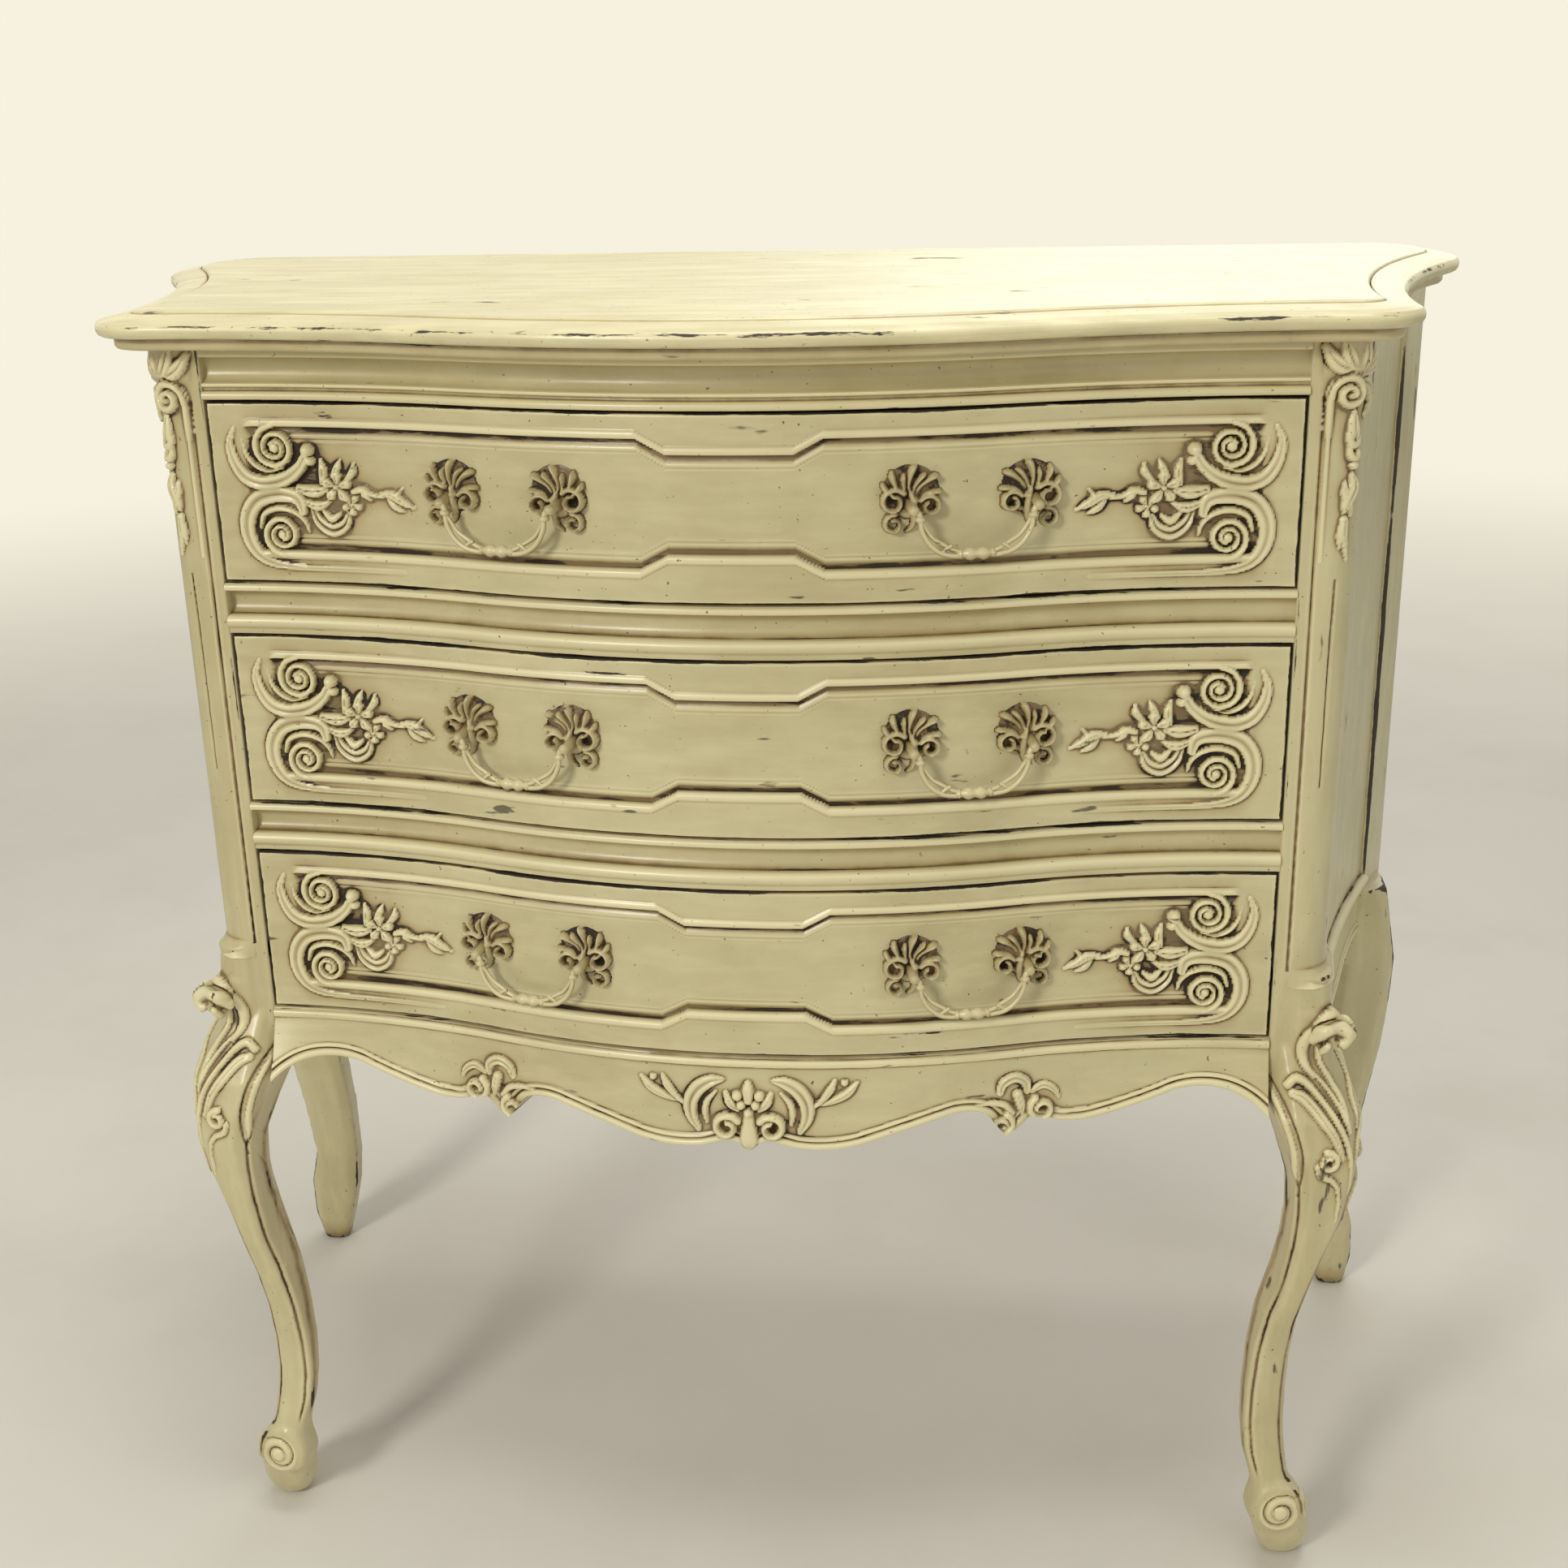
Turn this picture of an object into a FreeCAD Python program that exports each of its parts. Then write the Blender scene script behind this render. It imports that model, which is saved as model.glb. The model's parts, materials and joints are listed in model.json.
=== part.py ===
import FreeCAD, Part
import math
import os

# Serpentine three-drawer commode on four cabriole legs, painted wood with cast bail pulls.
# Working frame: X to the right, Y to the back, Z up, Y = 0 where the drawer fronts meet the posts.
# When the pieces are written they are moved so that the origin is the middle of the whole on the floor.

Vec = FreeCAD.Vector

# Case sizes, in millimetres
CABINET_HEIGHT = 850.0
CASE_DEPTH = 332.0
OPENING_WIDTH = 653.0
OPENING_HEIGHT = 113.0
RAIL_HEIGHT = 32.5
FRIEZE_HEIGHT = 32.0
BULGE = 50.0
DRAWER_COUNT = 3
CUT_OVERRUN = 5.0
SEAT_GAP = 0.3

# Top board
TOP_THICKNESS = 22.0
TOP_FRONT_OVERHANG = 33.0
TOP_BACK_OVERHANG = 13.0
TOP_BULGE = 58.0
TOP_CORNER_X = 350.0
TOP_CORNER_RADIUS = 37.0
TOP_CORNER_TILT = 1.7
TOP_SIDE_RADIUS = 499.0
TOP_EAR_ANGLE = 29.1
TOP_EAR_RADIUS = 80.0
FIELD_INSET = 24.0
LIP_HEIGHT = 14.5
LIP_FALL = 5.0
BED_INSET = 10.0
BED_BEVEL = 4.0

# Corner posts and case sides
STILE_WIDTH = 12.0
POST_ROUND = 22.5
POST_DEPTH = 48.0
SIDE_START_ANGLE = 6.6
SIDE_RADIUS = 1060.0
BLOCK_HEIGHT = 44.0
BLOCK_PUSH = 9.0
BLOCK_DROP = 46.0
CAPITAL_HEIGHT = 26.0
CAPITAL_PUSH = 5.0
PANEL_INSET = 3.0
PANEL_THICKNESS = 14.0
BACK_POST_DEPTH = 45.0
BACK_POST_WIDTH = 39.0

# Mouldings along the front
RAIL_DEPTH = 48.0
BEAD_HEIGHT = 5.0
BEAD_PROUD = 2.0
COVE_DEPTH = 6.5
TORUS_HEIGHT = 7.0
TORUS_PROUD = 3.5
RAIL_FILLET = 4.0
FRIEZE_COVE_DEPTH = 9.0
FRIEZE_BAND = 4.0
FRIEZE_STEP = 6.0

# Legs
FRONT_LEG_CANT = 12.0
KNEE_WIDTH = 51.0
KNOB_SIDE = 35.5
KNOB_REACH = 10.0
KNOB_RISE = 8.0
KNOB_RADIUS = 9.0
KNOB_LENGTH = 18.0
FOOT_ROLL_SIDE = 23.0
FOOT_ROLL_REACH = 29.0
FOOT_ROLL_HEIGHT = 53.0
FOOT_ROLL_RADIUS = 20.0
FOOT_ROLL_WIDTH = 24.0
FOOT_ROLL_EYE = 6.0
FOOT_EYE_RISE = 2.0
BACK_TOE_KICK = 18.0

# Apron and side aprons
APRON_THICKNESS = 22.0
APRON_DEPTH = 66.0
SIDE_APRON_DEPTH = 76.0
SIDE_APRON_THICKNESS = 20.0
SIDE_APRON_ARCH = 26.0
SIDE_BEAD_PROUD = 6.0
SIDE_BEAD_HEIGHT = 8.0
SIDE_MOULD_HEIGHT = 14.0
SIDE_MOULD_WIDTH = 11.0
SIDE_MOULD_FILLET = 3.0

# Drawers
FRONT_GAP = 1.5
FRONT_THICKNESS = 22.0
BOX_THICKNESS = 12.0
BOX_HEIGHT = 95.0
BOX_BACK_GAP = 18.0
BOX_INSET = 1.0
BOTTOM_THICKNESS = 6.0
BOTTOM_RISE = 9.0
GROOVE_DEPTH = 5.0
BACK_DROP = 8.0

# Sunk field of each drawer front
FRAME_END_MARGIN = 13.0
FRAME_TOP_MARGIN = 14.0
FRAME_BOTTOM_MARGIN = 16.0
FRAME_CORNER = 22.0
FIELD_DEPTH = 4.0
NOTCH_HALF = 37.0
NOTCH_RAMP = 16.0
NOTCH_RISE = 9.0

# Runners, kickers, stops and back
RUNNER_HEIGHT = 16.0
RUNNER_LEDGE = 20.0
GUIDE_WIDTH = 14.0
GUIDE_HEIGHT = 20.0
GUIDE_GAP = 1.0
STOP_LENGTH = 24.0
STOP_WIDTH = 14.0
STOP_HEIGHT = 6.0
STOP_OFFSET = 76.0
BACK_RAIL_THICKNESS = 18.0
BACK_PANEL_THICKNESS = 6.0
BACK_PANEL_INSET = 6.0
BACK_REBATE = 8.0

# Cast pulls
PULL_OFFSET = 137.0
POST_SPACING = 80.0
PLATE_THICKNESS = 4.0
PLATE_RADIUS = 13.0
LOBE_REACH = 7.0
LOBE_COUNT = 5
TAIL_DROP = 21.0
TAIL_WIDTH = 9.0
BOSS_RADIUS = 4.4
BOSS_REACH = 14.0
BAIL_RADIUS = 2.1
BAIL_DROP = 26.0
BAIL_BEND = 3.0
PIN_LENGTH = 5.0
PIN_CLEARANCE = 0.6
KNOT_RADIUS = 3.8
KNOT_LENGTH = 9.0
SHANK_RADIUS = 2.0
SHANK_CLEARANCE = 0.4
NUT_RADIUS = 4.6
NUT_THICKNESS = 3.0
SHANK_TAIL = 1.0
NUT_SINK = 4.5
NUT_CLEARANCE = 0.8

# Sizes worked out from those above
REACH = OPENING_WIDTH / 2
PITCH = OPENING_HEIGHT + RAIL_HEIGHT
CASE_TOP = CABINET_HEIGHT - TOP_THICKNESS
FIRST_OPENING_TOP = CASE_TOP - FRIEZE_HEIGHT
APRON_TOP = FIRST_OPENING_TOP - DRAWER_COUNT * OPENING_HEIGHT - (DRAWER_COUNT - 1) * RAIL_HEIGHT
APRON_LOW = APRON_TOP - APRON_DEPTH
TOP_BACK_Y = CASE_DEPTH + TOP_BACK_OVERHANG
BACK_POST_Y = CASE_DEPTH - BACK_POST_DEPTH
BACK_RAIL_BACK = CASE_DEPTH - BACK_PANEL_INSET - BACK_PANEL_THICKNESS
BACK_RAIL_FRONT = BACK_RAIL_BACK - BACK_RAIL_THICKNESS
BOX_HALF = REACH - FRONT_GAP - BOX_INSET
BOX_BACK = BACK_RAIL_FRONT - BOX_BACK_GAP
FIELD_THICKNESS = FRONT_THICKNESS - FIELD_DEPTH
UP = Vec(0, 0, 1)


def opening_bottom(index):
    """Height of the floor of a drawer opening, counted from the top."""
    return FIRST_OPENING_TOP - index * PITCH - OPENING_HEIGHT


def joined_face(edges):
    """Flat face inside a closed run of edges."""
    return Part.Face(Part.Wire(Part.__sortEdges__(edges)))


def polygon_face(points):
    """Flat face inside straight lines through the points."""
    return Part.Face(Part.makePolygon(points + points[:1]))


def box(x_low, x_high, y_low, y_high, z_low, z_high):
    """Block between two opposite corners."""
    return Part.makeBox(x_high - x_low, y_high - y_low, z_high - z_low, Vec(x_low, y_low, z_low))


def mirrored(shape):
    """The same piece on the other side of the cabinet."""
    return shape.mirror(Vec(0, 0, 0), Vec(1, 0, 0))


def arc(start, middle, end):
    """Circular edge through three points."""
    return Part.Arc(start, middle, end).toShape()


def arc_chain(points):
    """Arcs that share their ends: every second point is the middle of an arc."""
    count = (len(points) - 1) // 2
    return [arc(points[2 * i], points[2 * i + 1], points[2 * i + 2]) for i in range(count)]


# The serpentine line of the front

def wave_radius(bulge=BULGE, reach=REACH):
    """Radius shared by the convex middle arc and the two concave end arcs."""
    return (reach ** 2 + bulge ** 2) / (4 * bulge)


def wave_y(x, out=0, bulge=BULGE, reach=REACH):
    """Y of the serpentine line at x, moved forward by out."""
    radius = wave_radius(bulge, reach)
    if abs(x) <= reach / 2:
        return radius - bulge - math.sqrt((radius + out) ** 2 - x ** 2)
    return -radius + math.sqrt((radius - out) ** 2 - (abs(x) - reach) ** 2)


def wave_edges(out, end_x, bulge=BULGE, reach=REACH, y_shift=0):
    """Three tangent arcs of the serpentine line from -end_x to end_x."""
    radius = wave_radius(bulge, reach)
    join_x = reach / 2 + out * reach / (2 * radius)
    join_y = -bulge / 2 - out * (radius - bulge / 2) / radius + y_shift
    end_y = -radius + math.sqrt((radius - out) ** 2 - (end_x - reach) ** 2) + y_shift
    half_x = (join_x + end_x) / 2
    half_y = -radius + math.sqrt((radius - out) ** 2 - (half_x - reach) ** 2) + y_shift
    left = arc(Vec(-end_x, end_y, 0), Vec(-half_x, half_y, 0), Vec(-join_x, join_y, 0))
    middle = arc(Vec(-join_x, join_y, 0), Vec(0, y_shift - bulge - out, 0), Vec(join_x, join_y, 0))
    right = arc(Vec(join_x, join_y, 0), Vec(half_x, half_y, 0), Vec(end_x, end_y, 0))
    return [left, middle, right], Vec(-end_x, end_y, 0), Vec(end_x, end_y, 0)


def wave_slab(front_out, back_out, end_x, z_low, z_high):
    """Curved board between two serpentine lines."""
    front, front_left, front_right = wave_edges(front_out, end_x)
    back, back_left, back_right = wave_edges(back_out, end_x)
    sides = [Part.makeLine(front_left, back_left), Part.makeLine(front_right, back_right)]
    face = joined_face(front + back + sides)
    face.translate(Vec(0, 0, z_low))
    return face.extrude(Vec(0, 0, z_high - z_low))


def wave_sweep(profile):
    """Carries a profile, given as edges in (out, z), along the whole serpentine line."""
    radius = wave_radius()
    turn = math.degrees(math.asin(REACH / (2 * radius)))
    face = joined_face(profile)
    face.rotate(Vec(0, 0, 0), UP, -90)
    middle = face.copy()
    middle.translate(Vec(0, -BULGE, 0))
    middle_axis = Vec(0, radius - BULGE, 0)
    middle.rotate(middle_axis, UP, -turn)
    right = face.copy()
    right.translate(Vec(REACH, 0, 0))
    right_solid = right.revolve(Vec(REACH, -radius, 0), UP, turn)
    middle_solid = middle.revolve(middle_axis, UP, 2 * turn)
    return middle_solid.fuse([right_solid, mirrored(right_solid)]).removeSplitter()


def rail_sweep(points):
    """Front rail whose moulded face follows the serpentine line and whose back edge is straight."""
    low = points[0][1]
    high = points[-1][1]
    swept = wave_sweep(chain_profile(flat_runs(points), -RAIL_DEPTH - BULGE))
    return swept.common(box(-REACH, REACH, -BULGE - RAIL_DEPTH, RAIL_DEPTH, low, high))


def front_prism(face):
    """Pushes a face drawn in the XZ plane through the whole serpentine front."""
    depth = BULGE + 2 * FRONT_THICKNESS
    moved = face.copy()
    moved.translate(Vec(0, -depth, 0))
    return moved.extrude(Vec(0, 2 * depth, 0))


# The curved line of the case sides

SIDE_TURN = math.radians(SIDE_START_ANGLE)
SIDE_CENTRE = Vec(REACH + STILE_WIDTH + (POST_ROUND + SIDE_RADIUS) * math.cos(SIDE_TURN),
                  POST_ROUND - (POST_ROUND + SIDE_RADIUS) * math.sin(SIDE_TURN), 0)


def side_x(inset, y):
    """X of the right case side at y, moved inwards by inset."""
    radius = SIDE_RADIUS + inset
    return SIDE_CENTRE.x - math.sqrt(radius ** 2 - (y - SIDE_CENTRE.y) ** 2)


def side_point(inset, y):
    """Point of the right case side at y, moved inwards by inset."""
    return Vec(side_x(inset, y), y, 0)


def side_edge(inset, y_low, y_high):
    """Arc of the right case side between two depths."""
    middle = (y_low + y_high) / 2
    return arc(side_point(inset, y_low), side_point(inset, middle), side_point(inset, y_high))


def side_board(outer, inner, y_low, y_high, z_low, z_high):
    """Curved board of the right side between two insets."""
    edges = [side_edge(outer, y_low, y_high), side_edge(inner, y_low, y_high),
             Part.makeLine(side_point(outer, y_low), side_point(inner, y_low)),
             Part.makeLine(side_point(outer, y_high), side_point(inner, y_high))]
    face = joined_face(edges)
    face.translate(Vec(0, 0, z_low))
    return face.extrude(Vec(0, 0, z_high - z_low))


def side_sweep(profile, y_low, y_high):
    """Carries a profile, given as edges in (out, z), along the right side."""
    face = joined_face(profile)
    start = side_point(0, y_low - CUT_OVERRUN)
    start_angle = math.atan2(start.y - SIDE_CENTRE.y, start.x - SIDE_CENTRE.x)
    end = side_point(0, y_high + CUT_OVERRUN)
    end_angle = math.atan2(end.y - SIDE_CENTRE.y, end.x - SIDE_CENTRE.x)
    face.translate(Vec(SIDE_CENTRE.x - SIDE_RADIUS, SIDE_CENTRE.y, 0))
    face.rotate(SIDE_CENTRE, UP, math.degrees(start_angle) - 180)
    swept = face.revolve(SIDE_CENTRE, UP, math.degrees(end_angle - start_angle))
    return swept.common(box(0, SIDE_CENTRE.x, y_low, y_high, 0, CABINET_HEIGHT))


# Top board

def top_outline(inset, back_y):
    """Outline of the top board at an inset, with a straight back edge."""
    tilt = math.radians(TOP_CORNER_TILT)
    ear = math.radians(TOP_EAR_ANGLE)
    corner_y = TOP_CORNER_RADIUS - TOP_FRONT_OVERHANG
    corner = TOP_CORNER_RADIUS - inset
    side = TOP_SIDE_RADIUS + inset
    ear_radius = TOP_EAR_RADIUS - inset
    side_centre = Vec(TOP_CORNER_X, corner_y, 0)
    side_centre += Vec(math.cos(tilt), math.sin(tilt), 0) * (TOP_CORNER_RADIUS + TOP_SIDE_RADIUS)
    ear_centre = side_centre + Vec(-math.cos(ear), math.sin(ear), 0) * (TOP_SIDE_RADIUS + TOP_EAR_RADIUS)
    front, left, start = wave_edges(-inset, TOP_CORNER_X, TOP_BULGE, TOP_CORNER_X, -TOP_FRONT_OVERHANG)
    corner_centre = Vec(TOP_CORNER_X, corner_y, 0)
    corner_mid = corner_centre + Vec(math.cos(-math.pi / 4), math.sin(-math.pi / 4), 0) * corner
    corner_end = corner_centre + Vec(math.cos(tilt), math.sin(tilt), 0) * corner
    half = (ear - tilt) / 2
    side_mid = side_centre - Vec(math.cos(half), -math.sin(half), 0) * side
    side_end = side_centre - Vec(math.cos(ear), -math.sin(ear), 0) * side
    rise = back_y - ear_centre.y
    ear_turn = math.asin(min(rise / ear_radius, 1)) if ear_radius > rise else math.pi / 2
    ear_end = ear_centre + Vec(math.cos(ear_turn), math.sin(ear_turn), 0) * ear_radius
    ear_half = (ear_turn - ear) / 2
    ear_mid = ear_centre + Vec(math.cos(ear_half), math.sin(ear_half), 0) * ear_radius
    right = [arc(start, corner_mid, corner_end), arc(corner_end, side_mid, side_end),
             arc(side_end, ear_mid, ear_end)]
    return front, right, ear_end


def top_layer(inset, z_low, z_high):
    """One layer of the top board, cut off square at the back."""
    front, right, ear_end = top_outline(inset, TOP_BACK_Y)
    back_right = Vec(ear_end.x, TOP_BACK_Y, 0)
    edges = front + right + [mirrored(edge) for edge in right]
    if back_right.distanceToPoint(ear_end) > SEAT_GAP:
        edges.append(Part.makeLine(ear_end, back_right))
        edges.append(Part.makeLine(Vec(-ear_end.x, ear_end.y, 0), Vec(-back_right.x, back_right.y, 0)))
    else:
        back_right = ear_end
    edges.append(Part.makeLine(back_right, Vec(-back_right.x, back_right.y, 0)))
    face = joined_face(edges)
    face.translate(Vec(0, 0, z_low))
    return face.extrude(Vec(0, 0, z_high - z_low))


def edges_at(shape, z):
    """Outline edges of a top layer at one height, without the straight back edge."""
    found = []
    for edge in shape.Edges:
        level = abs(edge.BoundBox.ZMin - z) < SEAT_GAP and abs(edge.BoundBox.ZMax - z) < SEAT_GAP
        if level and edge.BoundBox.YMin < TOP_BACK_Y - SEAT_GAP:
            found.append(edge)
    return found


def make_top():
    """Top board: bevelled bed and moulded lip that falls outwards from the field."""
    lip_low = CABINET_HEIGHT - LIP_HEIGHT
    lip = top_layer(0, lip_low, CABINET_HEIGHT)
    lip = lip.makeChamfer(LIP_FALL, FIELD_INSET - LIP_FALL, edges_at(lip, CABINET_HEIGHT))
    bed = top_layer(BED_INSET, CASE_TOP, lip_low)
    bed = bed.makeChamfer(BED_BEVEL, edges_at(bed, CASE_TOP))
    return lip.fuse(bed).removeSplitter()


# Corner posts and legs

def front_post_face(push):
    """Plan of the right front post, its rounded corner pushed out along the diagonal."""
    stile = Vec(REACH + STILE_WIDTH, 0, 0)
    centre = Vec(REACH + STILE_WIDTH, POST_ROUND, 0)
    middle_angle = (SIDE_TURN + math.pi / 2) / 2
    middle = centre + Vec(math.cos(middle_angle), -math.sin(middle_angle), 0) * (POST_ROUND + push)
    tangent = centre + Vec(math.cos(SIDE_TURN), -math.sin(SIDE_TURN), 0) * (POST_ROUND + push / 2)
    back = side_point(0, POST_DEPTH)
    inner_back = Vec(REACH, POST_DEPTH, 0)
    inner_front = Vec(REACH, 0, 0)
    edges = [arc(stile, middle, tangent), Part.makeLine(tangent, back), Part.makeLine(back, inner_back),
             Part.makeLine(inner_back, inner_front), Part.makeLine(inner_front, stile)]
    return joined_face(edges)


def lifted(face, z_low, z_high):
    """Upright prism of a plan face."""
    moved = face.copy()
    moved.translate(Vec(0, 0, z_low))
    return moved.extrude(Vec(0, 0, z_high - z_low))


def faceted_solid(rings):
    """Solid with flat facets through rings of matching corners, from one flat end to the other."""
    faces = [polygon_face(rings[0]), polygon_face(rings[-1])]
    for near, far in zip(rings, rings[1:]):
        for side in range(len(near)):
            other = side - len(near) + 1
            faces.append(polygon_face([near[side], near[other], far[other]]))
            faces.append(polygon_face([near[side], far[other], far[side]]))
    return Part.Solid(Part.Shell(faces))


# Corner of a leg's section, as shares of the section's half width and half depth
LEG_CORNER_SHARES = [(1.0, 0.6), (0.6, 1.0)]


def leg_section(middle, half_width, half_depth, turn):
    """Corners of a leg's chamfered section at one height, turned about its middle."""
    spin = FreeCAD.Rotation(UP, turn)
    points = []
    for x_side, y_side, order in ((1, 1, 1), (-1, 1, -1), (-1, -1, 1), (1, -1, -1)):
        for x_share, y_share in LEG_CORNER_SHARES[::order]:
            corner = Vec(x_side * x_share * half_width, y_side * y_share * half_depth, 0)
            points.append(middle + spin.multVec(corner))
    return points


# Lower edge of the apron from the post to the middle, as shares of the half opening and of the
# apron's depth below its top; every second point is the middle of an arc
APRON_EDGE_SHARES = [
    (1.000, 0.712), (0.965, 0.576), (0.905, 0.485), (0.860, 0.495), (0.800, 0.598), (0.735, 0.720),
    (0.660, 0.826), (0.620, 0.844), (0.585, 0.821), (0.562, 0.765), (0.540, 0.720), (0.522, 0.818),
    (0.510, 0.880), (0.492, 0.906), (0.473, 0.845), (0.462, 0.750), (0.447, 0.670), (0.412, 0.636),
    (0.370, 0.676), (0.295, 0.798), (0.220, 0.924), (0.155, 0.986), (0.090, 0.970), (0.062, 0.927),
    (0.040, 0.894), (0.022, 0.921), (0.000, 0.985),
]
# Front leg: share of the leg's height, then inner edge, width, front edge and depth as shares of
# the knee's width, the inner edge from the drawer opening and the front edge from the front plane
FRONT_LEG_SHARES = [
    (1.000, 0.014, 0.682, 0.020, 0.902),
    (0.939, 0.014, 0.918, -0.235, 1.167),
    (0.880, 0.014, 1.055, -0.490, 1.431),
    (0.821, 0.196, 0.892, -0.549, 1.098),
    (0.765, 0.324, 0.745, -0.549, 0.804),
    (0.702, 0.333, 0.667, -0.510, 0.706),
    (0.638, 0.294, 0.490, -0.539, 0.735),
    (0.574, 0.196, 0.402, -0.588, 0.765),
    (0.510, 0.039, 0.451, -0.549, 0.667),
    (0.434, -0.049, 0.500, -0.431, 0.529),
    (0.357, -0.088, 0.529, -0.353, 0.431),
    (0.293, -0.098, 0.549, -0.343, 0.343),
    (0.242, -0.059, 0.539, -0.412, 0.333),
    (0.199, 0.029, 0.510, -0.490, 0.373),
    (0.153, 0.108, 0.549, -0.510, 0.549),
    (0.102, 0.147, 0.686, -0.451, 0.608),
    (0.051, 0.216, 0.637, -0.294, 0.529),
    (0.020, 0.304, 0.510, -0.157, 0.392),
    (0.000, 0.363, 0.392, -0.098, 0.294),
]
# Back leg: the same, from the inner and front faces of the back post, as shares of its width;
# the last column is the share of the backward kick of the toe
BACK_LEG_SHARES = [
    (1.000, 0.026, 0.974, 0.026, 1.128, 0.00),
    (0.842, 0.128, 1.128, 0.026, 1.128, 0.00),
    (0.740, 0.103, 1.128, 0.090, 1.060, 0.02),
    (0.638, 0.000, 1.154, 0.150, 0.960, 0.06),
    (0.510, -0.154, 1.128, 0.240, 0.800, 0.16),
    (0.383, -0.231, 1.051, 0.320, 0.700, 0.32),
    (0.255, -0.205, 0.949, 0.390, 0.640, 0.55),
    (0.166, -0.077, 1.051, 0.440, 0.630, 0.75),
    (0.077, 0.154, 0.872, 0.520, 0.590, 0.92),
    (0.000, 0.385, 0.538, 0.660, 0.480, 1.00),
]


def leg_loft(shares, height, origin, scale, cant, kick):
    """Cabriole leg through its sections; the cant fades in down to the knee."""
    rings = []
    for up, inner, width, front, depth, kick_share in shares:
        half_width = width * scale / 2
        half_depth = depth * scale / 2
        x = origin.x + inner * scale + half_width
        y = origin.y + front * scale + half_depth + kick * kick_share
        turn = cant * min((1 - up) / (1 - shares[3][0]), 1)
        rings.append(leg_section(Vec(x, y, up * height), half_width, half_depth, turn))
    return faceted_solid(rings)


def prism_roll(start, axis, radius, sides):
    """Short roll with flat facets along an axis."""
    across = axis.cross(UP)
    across.normalize()
    along = across.cross(axis)
    along.normalize()
    points = []
    for number in range(sides):
        angle = 2 * math.pi * (number + 0.5) / sides
        points.append(start + across * (radius * math.cos(angle)) + along * (radius * math.sin(angle)))
    return polygon_face(points).extrude(axis)


def apron_seats():
    """Room that the right front leg leaves for the ends of the apron and the side apron."""
    end_share = APRON_EDGE_SHARES[0][1]
    low = APRON_TOP - end_share * APRON_DEPTH
    front = box(0, REACH, -KNEE_WIDTH, POST_DEPTH + CUT_OVERRUN, low, APRON_TOP)
    low = APRON_TOP - SIDE_APRON_DEPTH + SIDE_APRON_ARCH
    side = box(0, REACH + 2 * KNEE_WIDTH, POST_DEPTH, POST_DEPTH + KNEE_WIDTH, low, APRON_TOP)
    return [front, side]


def make_front_leg():
    """Right front leg: block, corner post, capital, knee knob, cabriole leg and scroll foot."""
    block = lifted(front_post_face(BLOCK_PUSH), APRON_TOP - BLOCK_DROP, APRON_TOP + BLOCK_HEIGHT)
    shaft = lifted(front_post_face(0), APRON_TOP, CASE_TOP)
    capital = lifted(front_post_face(CAPITAL_PUSH), CASE_TOP - CAPITAL_HEIGHT, CASE_TOP)
    sections = [row + (0,) for row in FRONT_LEG_SHARES]
    leg = leg_loft(sections, APRON_TOP, Vec(REACH, 0, 0), KNEE_WIDTH, FRONT_LEG_CANT, 0)
    diagonal = Vec(1, 1, 0)
    diagonal.normalize()
    knob_middle = Vec(REACH + KNOB_SIDE, -KNOB_REACH, APRON_TOP + KNOB_RISE)
    knob = prism_roll(knob_middle - diagonal * (KNOB_LENGTH / 2), diagonal * KNOB_LENGTH, KNOB_RADIUS, 8)
    turn = math.radians(FRONT_LEG_CANT)
    outward = Vec(math.sin(turn), -math.cos(turn), 0)
    face = Vec(REACH + FOOT_ROLL_SIDE, -FOOT_ROLL_REACH, FOOT_ROLL_HEIGHT)
    roll = prism_roll(face, outward * -FOOT_ROLL_WIDTH, FOOT_ROLL_RADIUS, 12)
    eye = prism_roll(face + outward * FOOT_EYE_RISE, outward * -FOOT_ROLL_WIDTH, FOOT_ROLL_EYE, 6)
    whole = block.fuse([shaft, capital, leg, knob, roll, eye])
    return whole.cut(apron_seats()).removeSplitter()


def back_post_inner():
    """X of the inner face of the right back post."""
    return side_x(0, CASE_DEPTH) - BACK_POST_WIDTH


def make_back_leg():
    """Right back leg: post that follows the case side, rebated for the back panel."""
    inner = back_post_inner()
    corners = [Vec(inner, BACK_POST_Y, 0), Vec(inner, CASE_DEPTH, 0)]
    edges = [side_edge(0, BACK_POST_Y, CASE_DEPTH), Part.makeLine(side_point(0, BACK_POST_Y), corners[0]),
             Part.makeLine(corners[0], corners[1]), Part.makeLine(corners[1], side_point(0, CASE_DEPTH))]
    post = lifted(joined_face(edges), APRON_TOP - SIDE_APRON_DEPTH, CASE_TOP)
    rebate = box(inner - CUT_OVERRUN, inner + BACK_REBATE, BACK_RAIL_BACK, CASE_DEPTH + CUT_OVERRUN,
                 APRON_TOP - RUNNER_HEIGHT, CASE_TOP + CUT_OVERRUN)
    origin = Vec(inner, BACK_POST_Y, 0)
    leg = leg_loft(BACK_LEG_SHARES, APRON_TOP - RUNNER_HEIGHT, origin, BACK_POST_WIDTH, 0, BACK_TOE_KICK)
    return post.fuse(leg).cut(rebate).removeSplitter()


# Front rails

def chain_profile(runs, back_out):
    """Profile in (out, z) whose front is a chain of arcs and lines, closed by a flat back."""
    edges = []
    for run in runs:
        corners = [Vec(out, 0, z) for out, z in run]
        edges.append(arc(*corners) if len(corners) == 3 else Part.makeLine(*corners))
    first = Vec(runs[0][0][0], 0, runs[0][0][1])
    last = Vec(runs[-1][-1][0], 0, runs[-1][-1][1])
    closing = [last, Vec(back_out, 0, last.z), Vec(back_out, 0, first.z), first]
    for start, end in zip(closing, closing[1:]):
        if not start.isEqual(end, SEAT_GAP):
            edges.append(Part.makeLine(start, end))
    return edges


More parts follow.
